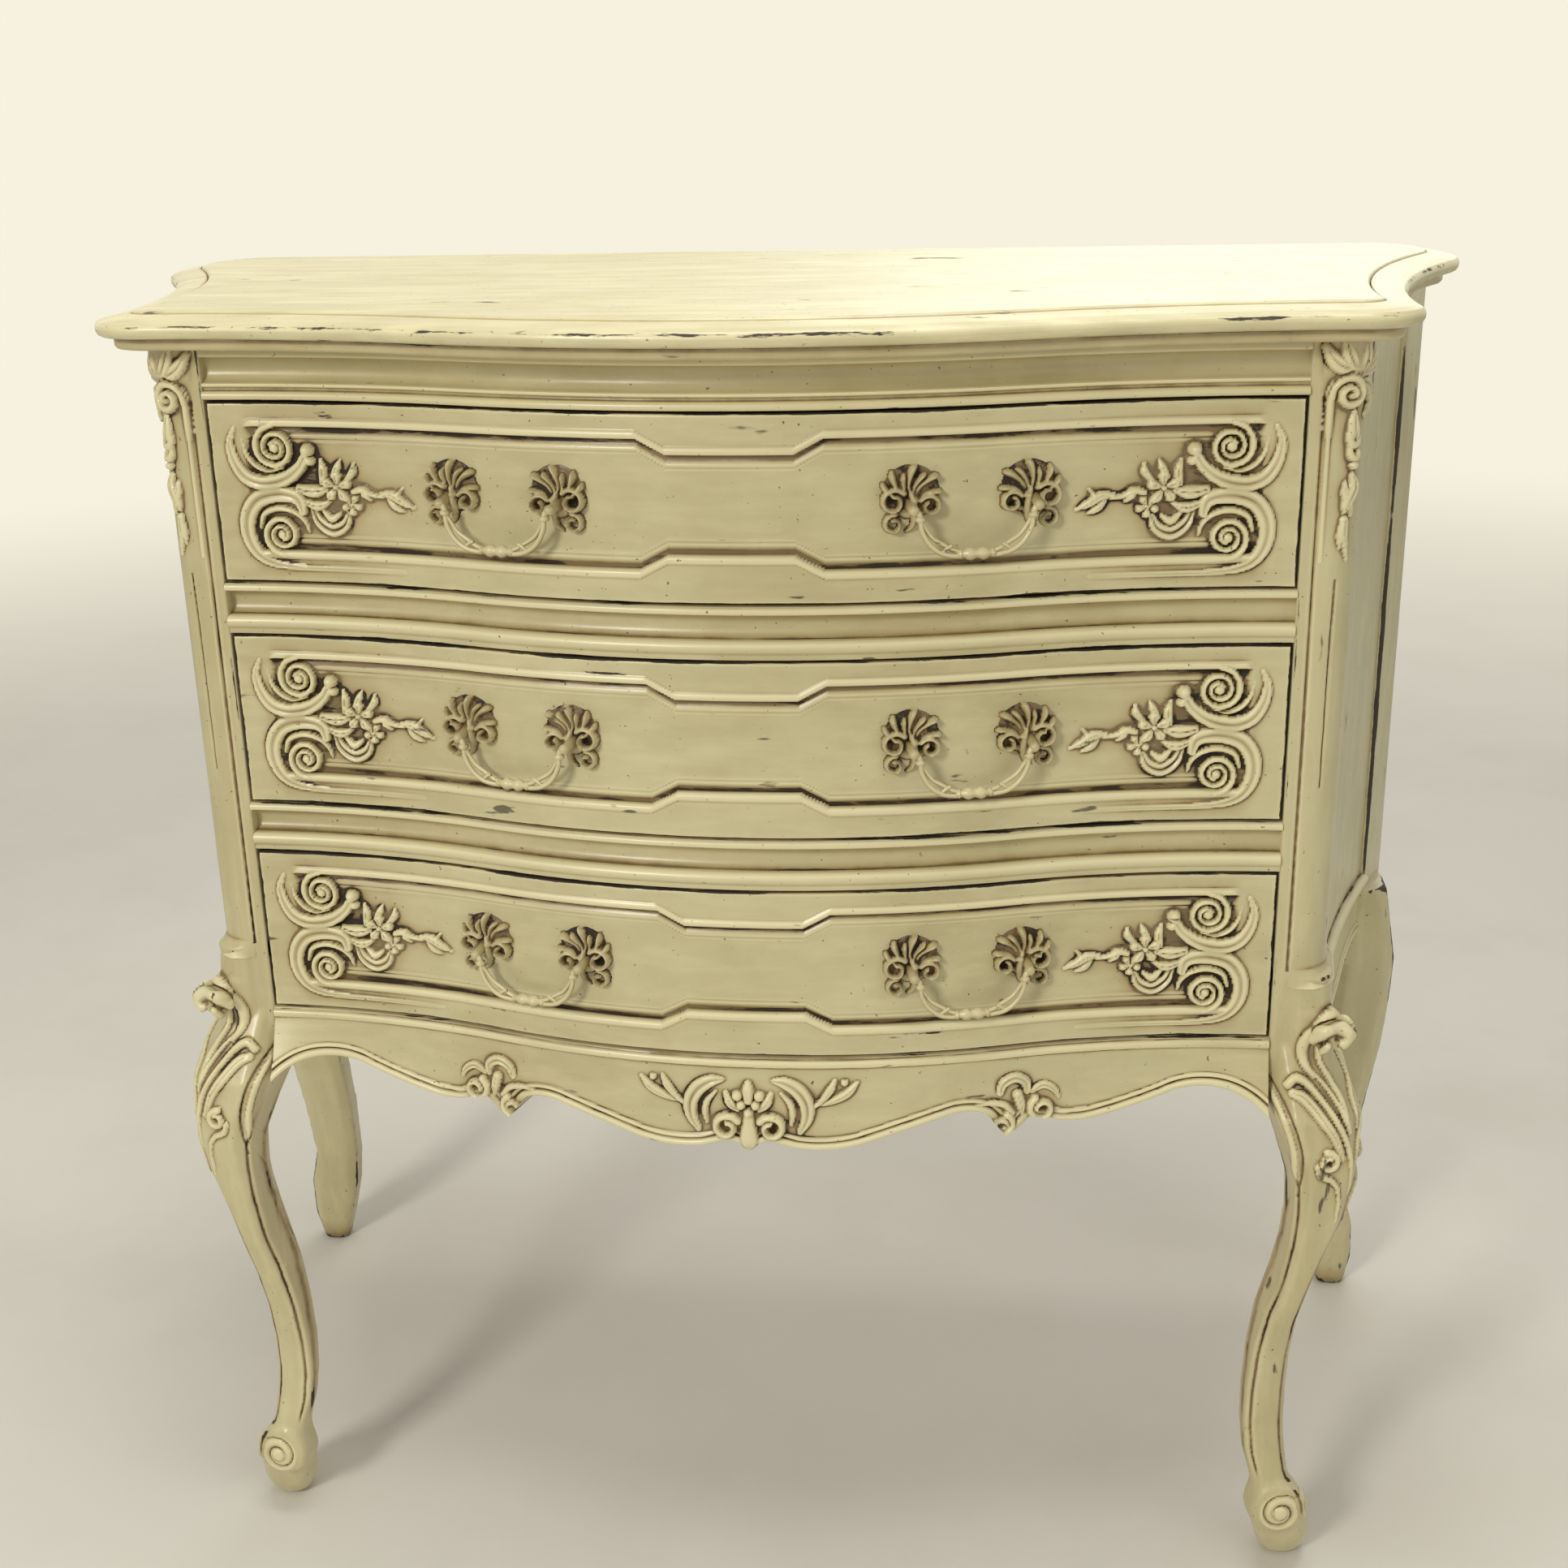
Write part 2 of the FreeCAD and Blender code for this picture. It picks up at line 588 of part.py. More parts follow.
# Beads, coves and rolls of the profiles have three flats: share of the height in each slope
BEAD_SLOPE_SHARE = 0.3
COVE_SLOPE_SHARE = 0.25


def flat_runs(points):
    """Straight runs through the points of a profile."""
    return list(zip(points, points[1:]))


def bead_points(low, height, proud, base=0):
    """Corners of a bead that stands proud of a profile."""
    slope = BEAD_SLOPE_SHARE * height
    high = low + height
    return [(base, low), (base + proud, low + slope), (base + proud, high - slope), (base, high)]


def make_divider(index):
    """Rail under a drawer: thin fillet, roll, broad cove and a top bead."""
    low = opening_bottom(index) - RAIL_HEIGHT
    high = opening_bottom(index)
    roll = bead_points(low + RAIL_FILLET, TORUS_HEIGHT, TORUS_PROUD)
    bead = bead_points(high - BEAD_HEIGHT, BEAD_HEIGHT, BEAD_PROUD)
    slope = COVE_SLOPE_SHARE * (bead[0][1] - roll[-1][1])
    cove = [(-COVE_DEPTH, roll[-1][1] + slope), (-COVE_DEPTH, bead[0][1] - slope)]
    points = [(0, low)] + roll[:-1] + cove + bead[1:]
    return rail_sweep(points)


def make_frieze():
    """Rail over the first drawer: bead, fillet, cove and a band under the top."""
    bead = bead_points(FIRST_OPENING_TOP, BEAD_HEIGHT, BEAD_PROUD)
    cove_low = bead[-1][1] + FRIEZE_BAND
    cove_high = CASE_TOP - FRIEZE_STEP
    slope = COVE_SLOPE_SHARE * (cove_high - cove_low)
    cove = [(0, cove_low), (-FRIEZE_COVE_DEPTH, cove_low + slope), (-FRIEZE_COVE_DEPTH, cove_high - slope),
            (0, cove_high)]
    points = bead + cove + [(0, CASE_TOP)]
    return rail_sweep(points)


def apron_edge_points():
    """Lower edge of the whole apron from left to right."""
    right = [Vec(x * REACH, 0, APRON_TOP - z * APRON_DEPTH) for x, z in APRON_EDGE_SHARES]
    left = [Vec(-point.x, 0, point.z) for point in right]
    return left + right[-2::-1]


def apron_face():
    """Face above the apron's lower edge, up to the rail."""
    points = apron_edge_points()
    high_left = Vec(-REACH, 0, APRON_TOP)
    high_right = Vec(REACH, 0, APRON_TOP)
    lines = [Part.makeLine(points[-1], high_right), Part.makeLine(high_right, high_left),
             Part.makeLine(high_left, points[0])]
    return joined_face(arc_chain(points) + lines)


def make_apron():
    """Serpentine apron with a scrolled lower edge and a bead close under its top."""
    blank = wave_slab(0, -APRON_THICKNESS, REACH, APRON_LOW - CUT_OVERRUN, APRON_TOP)
    board = blank.common(front_prism(apron_face()))
    bead_low = APRON_TOP - BEAD_HEIGHT - FRONT_GAP
    runs = flat_runs(bead_points(bead_low, BEAD_HEIGHT, BEAD_PROUD))
    bead = wave_sweep(chain_profile(runs, -BEAD_PROUD))
    return board.fuse(bead).removeSplitter()


def make_bottom_rail():
    """Flat rail glued behind the apron, which carries the lowest stops and runners."""
    front, left, right = wave_edges(-APRON_THICKNESS, REACH)
    back_left = Vec(-REACH, POST_DEPTH, 0)
    back_right = Vec(REACH, POST_DEPTH, 0)
    lines = [Part.makeLine(left, back_left), Part.makeLine(back_left, back_right),
             Part.makeLine(back_right, right)]
    return lifted(joined_face(front + lines), APRON_TOP - RUNNER_HEIGHT, APRON_TOP)


# Sides

def make_side_panel():
    """Right side panel between the posts, bent to the plan of the case."""
    inner = PANEL_INSET + PANEL_THICKNESS
    return side_board(PANEL_INSET, inner, POST_DEPTH, BACK_POST_Y, APRON_TOP, CASE_TOP)


def make_side_apron():
    """Right side apron with a bead along its top and a shallow double arch below."""
    low = APRON_TOP - SIDE_APRON_DEPTH
    inner = PANEL_INSET + SIDE_APRON_THICKNESS
    board = side_board(PANEL_INSET, inner, POST_DEPTH, BACK_POST_Y, low, APRON_TOP)
    length = BACK_POST_Y - POST_DEPTH
    high = low + SIDE_APRON_ARCH
    middle = POST_DEPTH + length / 2
    quarter = length / 4
    points = [Vec(0, POST_DEPTH, high), Vec(0, POST_DEPTH + quarter / 2, high),
              Vec(0, POST_DEPTH + quarter, low + SIDE_APRON_ARCH / 2), Vec(0, middle, low),
              Vec(0, BACK_POST_Y - quarter, low + SIDE_APRON_ARCH / 2),
              Vec(0, BACK_POST_Y - quarter / 2, high), Vec(0, BACK_POST_Y, high)]
    deep = low - CUT_OVERRUN
    below = [Vec(0, BACK_POST_Y, deep), Vec(0, POST_DEPTH, deep)]
    lines = [Part.makeLine(points[-1], below[0]), Part.makeLine(below[0], below[1]),
             Part.makeLine(below[1], points[0])]
    cutter = joined_face(arc_chain(points) + lines).extrude(Vec(2 * SIDE_RADIUS, 0, 0))
    bead_low = APRON_TOP - SIDE_BEAD_HEIGHT - FRONT_GAP
    runs = flat_runs(bead_points(bead_low, SIDE_BEAD_HEIGHT, SIDE_BEAD_PROUD, -PANEL_INSET))
    bead = side_sweep(chain_profile(runs, -PANEL_INSET - SIDE_BEAD_PROUD), POST_DEPTH, BACK_POST_Y)
    return board.cut(cutter).fuse(bead).removeSplitter()


def make_side_mould():
    """Cove moulding on the right side panel, close under the top."""
    low = CASE_TOP - SIDE_MOULD_HEIGHT
    face = -PANEL_INSET
    proud = face + SIDE_MOULD_WIDTH
    points = [(face, low), (face + SIDE_MOULD_FILLET, low),
              (face + SIDE_MOULD_WIDTH / 3, CASE_TOP - SIDE_MOULD_HEIGHT / 2),
              (proud, CASE_TOP - SIDE_MOULD_FILLET), (proud, CASE_TOP)]
    return side_sweep(chain_profile(flat_runs(points), face), POST_DEPTH, BACK_POST_Y)


# Back

def make_back_rail(top_z):
    """Straight rail between the back posts with its top at the given height."""
    half = back_post_inner()
    return box(-half, half, BACK_RAIL_FRONT, BACK_RAIL_BACK, top_z - RUNNER_HEIGHT, top_z)


def make_back_panel():
    """Thin back panel let into the rebates of the back posts."""
    half = back_post_inner() + BACK_REBATE - SEAT_GAP
    return box(-half, half, BACK_RAIL_BACK, BACK_RAIL_BACK + BACK_PANEL_THICKNESS,
               APRON_TOP - RUNNER_HEIGHT, CASE_TOP)


# Drawer supports

def make_runner(index):
    """Right runner of a drawer: bearer under the drawer side and guide beside it."""
    floor = opening_bottom(index)
    inner = BOX_HALF - RUNNER_LEDGE
    outer = BOX_HALF + GUIDE_GAP + GUIDE_WIDTH
    bearer = box(inner, outer, POST_DEPTH, BACK_RAIL_FRONT, floor - RUNNER_HEIGHT, floor)
    guide = box(BOX_HALF + GUIDE_GAP, outer, POST_DEPTH, BACK_RAIL_FRONT, floor, floor + GUIDE_HEIGHT)
    return bearer.fuse(guide).removeSplitter()


def make_kickers():
    """Pair of strips over the top drawer that keep it from tipping."""
    low = FIRST_OPENING_TOP
    strip = box(BOX_HALF - RUNNER_LEDGE, BOX_HALF, POST_DEPTH, BACK_RAIL_FRONT, low, low + RUNNER_HEIGHT)
    return Part.makeCompound([strip, mirrored(strip)])


def make_stops():
    """Two stop blocks for each drawer, glued to the rail behind the drawer front."""
    stops = []
    for index in range(DRAWER_COUNT):
        floor = opening_bottom(index)
        middle = REACH - STOP_OFFSET
        near = max(wave_y(middle + side * STOP_LENGTH / 2, -FRONT_THICKNESS) for side in (-1, 1))
        start = near + SEAT_GAP
        block = box(middle - STOP_LENGTH / 2, middle + STOP_LENGTH / 2, start, start + STOP_WIDTH,
                    floor, floor + STOP_HEIGHT)
        stops += [block, mirrored(block)]
    return Part.makeCompound(stops)


# Drawer fronts

def frame_face(bottom, top):
    """Outline of the sunk field, notched at the middle and round at the ends."""
    half = REACH - FRONT_GAP - FRAME_END_MARGIN
    high = top - FRAME_TOP_MARGIN
    low = bottom + FRAME_BOTTOM_MARGIN
    round_off = FRAME_CORNER * (1 - math.sqrt(0.5))
    edges = []
    for level, rise in ((high, -NOTCH_RISE), (low, NOTCH_RISE)):
        run = [(half - FRAME_CORNER, level), (NOTCH_HALF + NOTCH_RAMP, level), (NOTCH_HALF, level + rise)]
        run += [(-x, z) for x, z in reversed(run)]
        corners = [Vec(x, 0, z) for x, z in run]
        edges += [Part.makeLine(first, second) for first, second in zip(corners, corners[1:])]
        inward = 1 if rise > 0 else -1
        for side in (-1, 1):
            edges.append(arc(Vec(side * (half - FRAME_CORNER), 0, level),
                             Vec(side * (half - round_off), 0, level + inward * round_off),
                             Vec(side * half, 0, level + inward * FRAME_CORNER)))
    for side in (-1, 1):
        upper = Vec(side * half, 0, high - FRAME_CORNER)
        edges.append(Part.makeLine(upper, Vec(side * half, 0, low + FRAME_CORNER)))
    return joined_face(edges)


def make_drawer_front(index):
    """Serpentine drawer front with its sunk, notched field and the bolt holes of the pulls."""
    bottom = opening_bottom(index) + FRONT_GAP
    top = opening_bottom(index) + OPENING_HEIGHT - FRONT_GAP
    board = wave_slab(0, -FRONT_THICKNESS, REACH - FRONT_GAP, bottom, top)
    deep = wave_slab(CUT_OVERRUN, -FIELD_DEPTH, REACH, bottom - CUT_OVERRUN, top + CUT_OVERRUN)
    board = board.cut(front_prism(frame_face(bottom, top)).common(deep))
    holes = [place_pull(hole, place) for place in pull_places(index) for side in (-1, 1)
             for hole in (shank(SHANK_RADIUS + SHANK_CLEARANCE, side), nut_pocket(side))]
    return board.cut(holes).removeSplitter()


# Drawer boxes

def bottom_slot(index):
    """Room of the drawer bottom, from the back of the front and let into the sides."""
    low = opening_bottom(index) + SEAT_GAP + BOTTOM_RISE
    front, left, right = wave_edges(-FRONT_THICKNESS, BOX_HALF - BOX_THICKNESS + GROOVE_DEPTH)
    back_left = Vec(left.x, BOX_BACK, 0)
    back_right = Vec(right.x, BOX_BACK, 0)
    lines = [Part.makeLine(left, back_left), Part.makeLine(back_left, back_right),
             Part.makeLine(back_right, right)]
    return lifted(joined_face(front + lines), low, low + BOTTOM_THICKNESS)


def make_drawer_side(index):
    """Right side of a drawer box, shaped to the back of the front and grooved for the bottom."""
    low = opening_bottom(index) + SEAT_GAP
    board = box(BOX_HALF - BOX_THICKNESS, BOX_HALF, 0, BOX_BACK, low, low + BOX_HEIGHT)
    front = wave_slab(0, -FRONT_THICKNESS, REACH, low - CUT_OVERRUN, low + BOX_HEIGHT + CUT_OVERRUN)
    ahead = wave_slab(BULGE, 0, REACH, low - CUT_OVERRUN, low + BOX_HEIGHT + CUT_OVERRUN)
    return board.cut([front, ahead, bottom_slot(index)]).removeSplitter()


def make_drawer_back(index):
    """Back of a drawer box, standing on the bottom between the sides."""
    low = opening_bottom(index) + SEAT_GAP
    half = BOX_HALF - BOX_THICKNESS
    return box(-half, half, BOX_BACK - BOX_THICKNESS, BOX_BACK, low + BOTTOM_RISE + BOTTOM_THICKNESS,
               low + BOX_HEIGHT - BACK_DROP)


# Pulls, drawn about the middle of the line between the two posts: X along it, -Y outwards

def plate_seat():
    """Distance of the plates from the line between the posts, clear of the bulge of the front."""
    half = POST_SPACING / 2
    inner = half - PLATE_RADIUS - LOBE_REACH
    return SEAT_GAP + (half ** 2 - inner ** 2) / (2 * wave_radius())


def shank(radius, side):
    """Bolt hole or shank of one post, through the drawer front."""
    length = PLATE_THICKNESS + FIELD_THICKNESS - NUT_SINK + NUT_THICKNESS + SHANK_TAIL
    start = Vec(side * POST_SPACING / 2, -PLATE_THICKNESS, 0)
    return prism_roll(start, Vec(0, length, 0), radius, 6)


def nut_pocket(side):
    """Hexagon pocket in the back of the drawer front, so that nothing stands out in the drawer."""
    start = Vec(side * POST_SPACING / 2, FIELD_THICKNESS - NUT_SINK - SEAT_GAP, 0)
    return prism_roll(start, Vec(0, NUT_SINK + CUT_OVERRUN, 0), NUT_RADIUS + NUT_CLEARANCE, 6)


def rosette_face():
    """Cast rosette of the right post: a fan of lobes over a curled tail."""
    middle = POST_SPACING / 2
    points = []
    step = math.pi * 1.25 / (LOBE_COUNT - 0.5)
    start = -math.pi / 4
    for lobe in range(LOBE_COUNT):
        for share, reach in ((0.0, 0), (0.35, LOBE_REACH)):
            turn = start + (lobe + share) * step
            radius = PLATE_RADIUS + reach
            points.append(Vec(middle + radius * math.cos(turn), 0, radius * math.sin(turn)))
    points.append(Vec(middle - PLATE_RADIUS / 2, 0, -PLATE_RADIUS / 2))
    points.append(Vec(middle + TAIL_WIDTH / 3, 0, -TAIL_DROP))
    points.append(Vec(middle + TAIL_WIDTH, 0, -TAIL_DROP))
    points.append(Vec(middle + TAIL_WIDTH * 1.3, 0, -PLATE_RADIUS))
    return polygon_face(points)


def ring_points(centre, before, after, radius):
    """Hexagon in the mitre plane between two directions of a rod that bends in the XZ plane."""
    axis = before + after
    axis.normalize()
    stretch = 1 / max(axis.dot(before), 0.5)
    across = Vec(0, 1, 0) if abs(axis.y) < 0.5 else UP
    along = across.cross(axis)
    along.normalize()
    points = []
    for number in range(6):
        angle = 2 * math.pi * number / 6
        sideways = across * (radius * math.cos(angle))
        points.append(centre + sideways + along * (stretch * radius * math.sin(angle)))
    return points


def faceted_rod(centres, radii):
    """Rod with six flat sides through a chain of centres, with a radius for each of them."""
    steps = [second - first for first, second in zip(centres, centres[1:])]
    for step in steps:
        step.normalize()
    befores = steps[:1] + steps
    afters = steps + steps[-1:]
    return faceted_solid([ring_points(*ring) for ring in zip(centres, befores, afters, radii)])


def make_pull_plates():
    """Both rosettes with their knuckles and threaded shanks."""
    plate = rosette_face().extrude(Vec(0, -PLATE_THICKNESS, 0))
    plate.translate(Vec(0, -plate_seat(), 0))
    middle = POST_SPACING / 2
    reaches = [PLATE_THICKNESS / 2, BOSS_REACH, BOSS_REACH + BOSS_RADIUS]
    radii = [BOSS_RADIUS * share for share in (0.7, 1.0, 0.8)]
    knuckle = faceted_rod([Vec(middle, -reach, 0) for reach in reaches], radii)
    hole_start = Vec(middle - BOSS_RADIUS - CUT_OVERRUN, -BOSS_REACH, 0)
    hole_depth = Vec(PIN_LENGTH + CUT_OVERRUN + PIN_CLEARANCE, 0, 0)
    hole = prism_roll(hole_start, hole_depth, BAIL_RADIUS + PIN_CLEARANCE, 6)
    right = plate.fuse([knuckle, shank(SHANK_RADIUS, 1)]).cut(hole).removeSplitter()
    return Part.makeCompound([right, mirrored(right)])


def make_pull_nuts():
    """Hexagon nuts let into the back of the drawer front."""
    start = Vec(POST_SPACING / 2, FIELD_THICKNESS - NUT_SINK, 0)
    thick = Vec(0, NUT_THICKNESS, 0)
    right = prism_roll(start, thick, NUT_RADIUS, 6).cut(prism_roll(start, thick, SHANK_RADIUS, 6))
    return Part.makeCompound([right, mirrored(right)])


def make_bail():
    """Swinging bail: faceted rod from pin to pin through both bends, with a knot at the bottom."""
    pin_end = POST_SPACING / 2 - BOSS_RADIUS
    bend_x = pin_end - BAIL_BEND
    curve = BAIL_DROP - BAIL_BEND
    chain = [(pin_end + PIN_LENGTH, 0, BAIL_RADIUS), (bend_x + BAIL_BEND / 2, 0, BAIL_RADIUS)]
    for angle in (15, 45, 75):
        turn = math.radians(angle)
        drop = BAIL_BEND + curve * math.sin(turn)
        chain.append((bend_x - curve * (1 - math.cos(turn)), -drop, BAIL_RADIUS))
    for share, radius in ((1.3, BAIL_RADIUS), (1.0, BAIL_RADIUS), (0.4, KNOT_RADIUS)):
        chain.append((share * KNOT_LENGTH, -BAIL_DROP, radius))
    chain += [(-x, z, radius) for x, z, radius in reversed(chain)]
    centres = [Vec(x, -BOSS_REACH, z) for x, z, radius in chain]
    return faceted_rod(centres, [radius for x, z, radius in chain])


def pull_places(index):
    """Middle point and turn of the two pulls on a drawer."""
    z = opening_bottom(index) + OPENING_HEIGHT / 2
    places = []
    for side in (-1, 1):
        low = PULL_OFFSET - POST_SPACING / 2
        high = PULL_OFFSET + POST_SPACING / 2
        slope = math.atan2(wave_y(high, -FIELD_DEPTH) - wave_y(low, -FIELD_DEPTH), high - low)
        middle_y = (wave_y(high, -FIELD_DEPTH) + wave_y(low, -FIELD_DEPTH)) / 2
        places.append((Vec(side * PULL_OFFSET, middle_y, z), side * math.degrees(slope)))
    return places


def place_pull(shape, place):
    """Moves a pull piece to its place on a drawer front."""
    point, turn = place
    moved = shape.copy()
    moved.rotate(Vec(0, 0, 0), UP, turn)
    moved.translate(point)
    return moved


def all_parts():
    """Every piece by its name."""
    parts = {"top": make_top()}
    front_leg = make_front_leg()
    back_leg = make_back_leg()
    panel = make_side_panel()
    side_apron = make_side_apron()
    mould = make_side_mould()
    for name, shape in (("leg_front", front_leg), ("leg_back", back_leg), ("side_panel", panel),
                        ("side_apron", side_apron), ("side_moulding", mould)):
        parts[name + "_right"] = shape
        parts[name + "_left"] = mirrored(shape)
    parts["frieze_rail"] = make_frieze()
    parts["divider_rail_upper"] = make_divider(0)
    parts["divider_rail_lower"] = make_divider(1)
    parts["apron"] = make_apron()
    parts["bottom_rail"] = make_bottom_rail()
    parts["back_panel"] = make_back_panel()
    parts["back_rail_top"] = make_back_rail(CASE_TOP)
    parts["kickers"] = make_kickers()
    parts["drawer_stops"] = make_stops()
    plates = make_pull_plates()
    nuts = make_pull_nuts()
    bail = make_bail()
    for index, level in enumerate(("top", "middle", "bottom")):
        parts["back_rail_" + level + "_drawer"] = make_back_rail(opening_bottom(index))
        runner = make_runner(index)
        parts["runner_right_" + level] = runner
        parts["runner_left_" + level] = mirrored(runner)
        drawer = "drawer_" + level
        side = make_drawer_side(index)
        parts[drawer + "_front"] = make_drawer_front(index)
        parts[drawer + "_side_right"] = side
        parts[drawer + "_side_left"] = mirrored(side)
        parts[drawer + "_back"] = make_drawer_back(index)
        parts[drawer + "_bottom"] = bottom_slot(index)
        places = pull_places(index)
        parts["pull_nuts_" + level] = Part.makeCompound([place_pull(nuts, place) for place in places])
        for side_name, place in zip(("left", "right"), places):
            parts["pull_plates_" + level + "_" + side_name] = place_pull(plates, place)
            parts["bail_" + level + "_" + side_name] = place_pull(bail, place)
    return parts


def frame_shift(shapes):
    """Move that brings the middle of the whole piece, front to back, to the origin."""
    whole = FreeCAD.BoundBox()
    for shape in shapes:
        whole.add(shape.optimalBoundingBox(False))
    return Vec(0, -(whole.YMin + whole.YMax) / 2, 0)


pieces = all_parts()
FRAME_SHIFT = frame_shift(pieces.values())
os.makedirs("parts", exist_ok=True)
for part_name, part_shape in pieces.items():
    part_shape.translate(FRAME_SHIFT)
    part_shape.exportStep(os.path.join("parts", part_name + ".step"))
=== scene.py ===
import json
import math

import bmesh
import bpy
import numpy as np
from mathutils import Matrix, Vector
from mathutils.bvhtree import BVHTree


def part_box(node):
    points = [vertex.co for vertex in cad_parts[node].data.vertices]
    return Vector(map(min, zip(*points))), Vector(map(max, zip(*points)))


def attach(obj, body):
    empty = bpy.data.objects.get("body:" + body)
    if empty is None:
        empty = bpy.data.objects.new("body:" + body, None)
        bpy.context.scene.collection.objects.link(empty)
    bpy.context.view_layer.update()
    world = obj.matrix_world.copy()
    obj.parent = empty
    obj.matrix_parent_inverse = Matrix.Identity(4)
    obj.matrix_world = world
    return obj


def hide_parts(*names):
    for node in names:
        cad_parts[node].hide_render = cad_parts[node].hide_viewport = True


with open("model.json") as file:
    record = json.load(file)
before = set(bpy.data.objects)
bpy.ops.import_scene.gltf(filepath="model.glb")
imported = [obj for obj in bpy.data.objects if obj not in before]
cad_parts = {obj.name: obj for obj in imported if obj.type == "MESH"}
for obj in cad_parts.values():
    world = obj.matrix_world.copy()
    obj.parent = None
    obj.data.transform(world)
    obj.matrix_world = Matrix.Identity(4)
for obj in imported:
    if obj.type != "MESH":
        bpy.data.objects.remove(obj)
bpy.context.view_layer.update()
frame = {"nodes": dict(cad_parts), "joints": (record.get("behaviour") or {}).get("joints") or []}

bl_info = {
    "name": "Painted serpentine commode",
    "version": (1, 0, 0),
    "blender": (4, 5, 0),
    "location": "3D View > Sidebar > Commode",
    "description": "Dresses the packed commode with carving, moulding and worn cream paint",
    "category": "Object",
}

MM = 0.001
LEVELS = ("top", "middle", "bottom")
SIDES = (("left", -1), ("right", 1))

# Places read from the frame, in metres
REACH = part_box("frieze_rail")[1].x
BULGE = 0.050
FRONT_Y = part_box("drawer_top_front")[0].y + BULGE
CASE_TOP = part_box("top")[0].z
APRON_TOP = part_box("apron")[1].z
RAIL_BACK_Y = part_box("frieze_rail")[1].y
SIDE_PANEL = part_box("side_panel_right")
BACK_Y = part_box("top")[1].y


class CommodeShape(bpy.types.PropertyGroup):
    """Sizes of the carved and moulded surfaces."""

    grid: bpy.props.FloatProperty(
        name="Carving grid", description="Spacing of the points on the carved faces",
        default=1.0 * MM, min=0.5 * MM, max=4 * MM, unit="LENGTH", precision=4)
    field_depth: bpy.props.FloatProperty(
        name="Field depth", description="How far the field of a drawer front is sunk",
        default=3.4 * MM, min=0, max=8 * MM, unit="LENGTH", precision=4)
    carving_height: bpy.props.FloatProperty(
        name="Carving height", description="Share of the full height of all carved ornament",
        default=1.0, min=0.2, max=1.5, subtype="FACTOR")
    hand_wobble: bpy.props.FloatProperty(
        name="Hand wobble", description="Unevenness that hand tools and paint leave on flat faces",
        default=0.12 * MM, min=0, max=1 * MM, unit="LENGTH", precision=5)


class CommodePaint(bpy.types.PropertyGroup):
    """Colours and wear of the finishes."""

    cream: bpy.props.FloatVectorProperty(
        name="Cream paint", description="Main colour of the old paint",
        default=(0.60, 0.553, 0.325), min=0, max=1, size=3, subtype="COLOR")
    shade: bpy.props.FloatVectorProperty(
        name="Yellowed paint", description="Colour of the paint where it has yellowed",
        default=(0.485, 0.432, 0.225), min=0, max=1, size=3, subtype="COLOR")
    # tan, glaze and bare also give the painted shade in hollows, from the shallow ones to the deepest,
    # and the pale of the cream gives the painted highlight.
    tan: bpy.props.FloatVectorProperty(
        name="Thin glaze", description="Paint under a thin coat of brown glaze",
        default=(0.37, 0.262, 0.102), min=0, max=1, size=3, subtype="COLOR")
    glaze: bpy.props.FloatVectorProperty(
        name="Glaze", description="Brown glaze that lies in the carving",
        default=(0.135, 0.085, 0.032), min=0, max=1, size=3, subtype="COLOR")
    bare: bpy.props.FloatVectorProperty(
        name="Worn wood", description="Dark wood that shows where the paint has gone",
        default=(0.030, 0.019, 0.010), min=0, max=1, size=3, subtype="COLOR")
    timber: bpy.props.FloatVectorProperty(
        name="Drawer timber", description="Plain wood of the drawer boxes and of the inside",
        default=(0.40, 0.235, 0.105), min=0, max=1, size=3, subtype="COLOR")
    wear: bpy.props.FloatProperty(
        name="Wear", description="How much of the paint is rubbed off the edges",
        default=0.5, min=0, max=1, subtype="FACTOR")


# Curves over distances, from which the mouldings, cuts and marks are made

def bell(distance, width):
    """Bell curve: 1 at no distance, and next to nothing from twice the width."""
    return np.exp(-(distance / width) ** 2)


def dome(share):
    """Half round section: 1 in the middle and 0 from a share of one."""
    return np.sqrt(np.clip(1 - share ** 2, 0, 1))


def climb(value, start, run):
    """Rise from 0 at a start to 1 at the end of a run."""
    return np.clip((value - start) / run, 0, 1)


def descent(value, end, run):
    """Fall from 1 to 0 over the run before an end."""
    return np.clip((end - value) / run, 0, 1)


def pit(u, v, at_u, at_v, radius):
    """Round pit about a place, 1 at its middle."""
    return np.exp(-((u - at_u) ** 2 + (v - at_v) ** 2) / radius ** 2)


def eased(line, passes):
    """A line of values, each averaged with its neighbours again and again; the ends stay."""
    for _ in range(passes):
        line[1:-1] = (line[:-2] + 2 * line[1:-1] + line[2:]) / 4
    return line


# Curves of the case in plan

def wave(x, out, bulge=BULGE, reach=REACH, front=FRONT_Y):
    """Plan point on the serpentine line at x along the line, moved out along its normal."""
    radius = (reach ** 2 + bulge ** 2) / (4 * bulge)
    side = np.sign(x)
    far = np.minimum(np.abs(x), reach)
    middle = far <= reach / 2
    y_middle = radius - bulge - np.sqrt(radius ** 2 - np.where(middle, far, 0) ** 2)
    y_end = -radius + np.sqrt(radius ** 2 - (far - reach) ** 2)
    y = np.where(middle, y_middle, y_end)
    normal_x = np.where(middle, side * far / radius, side * (reach - far) / radius)
    normal_y = np.where(middle, (y - (radius - bulge)) / radius, (-radius - y) / radius)
    return x + normal_x * out, front + y + normal_y * out


# Meshes

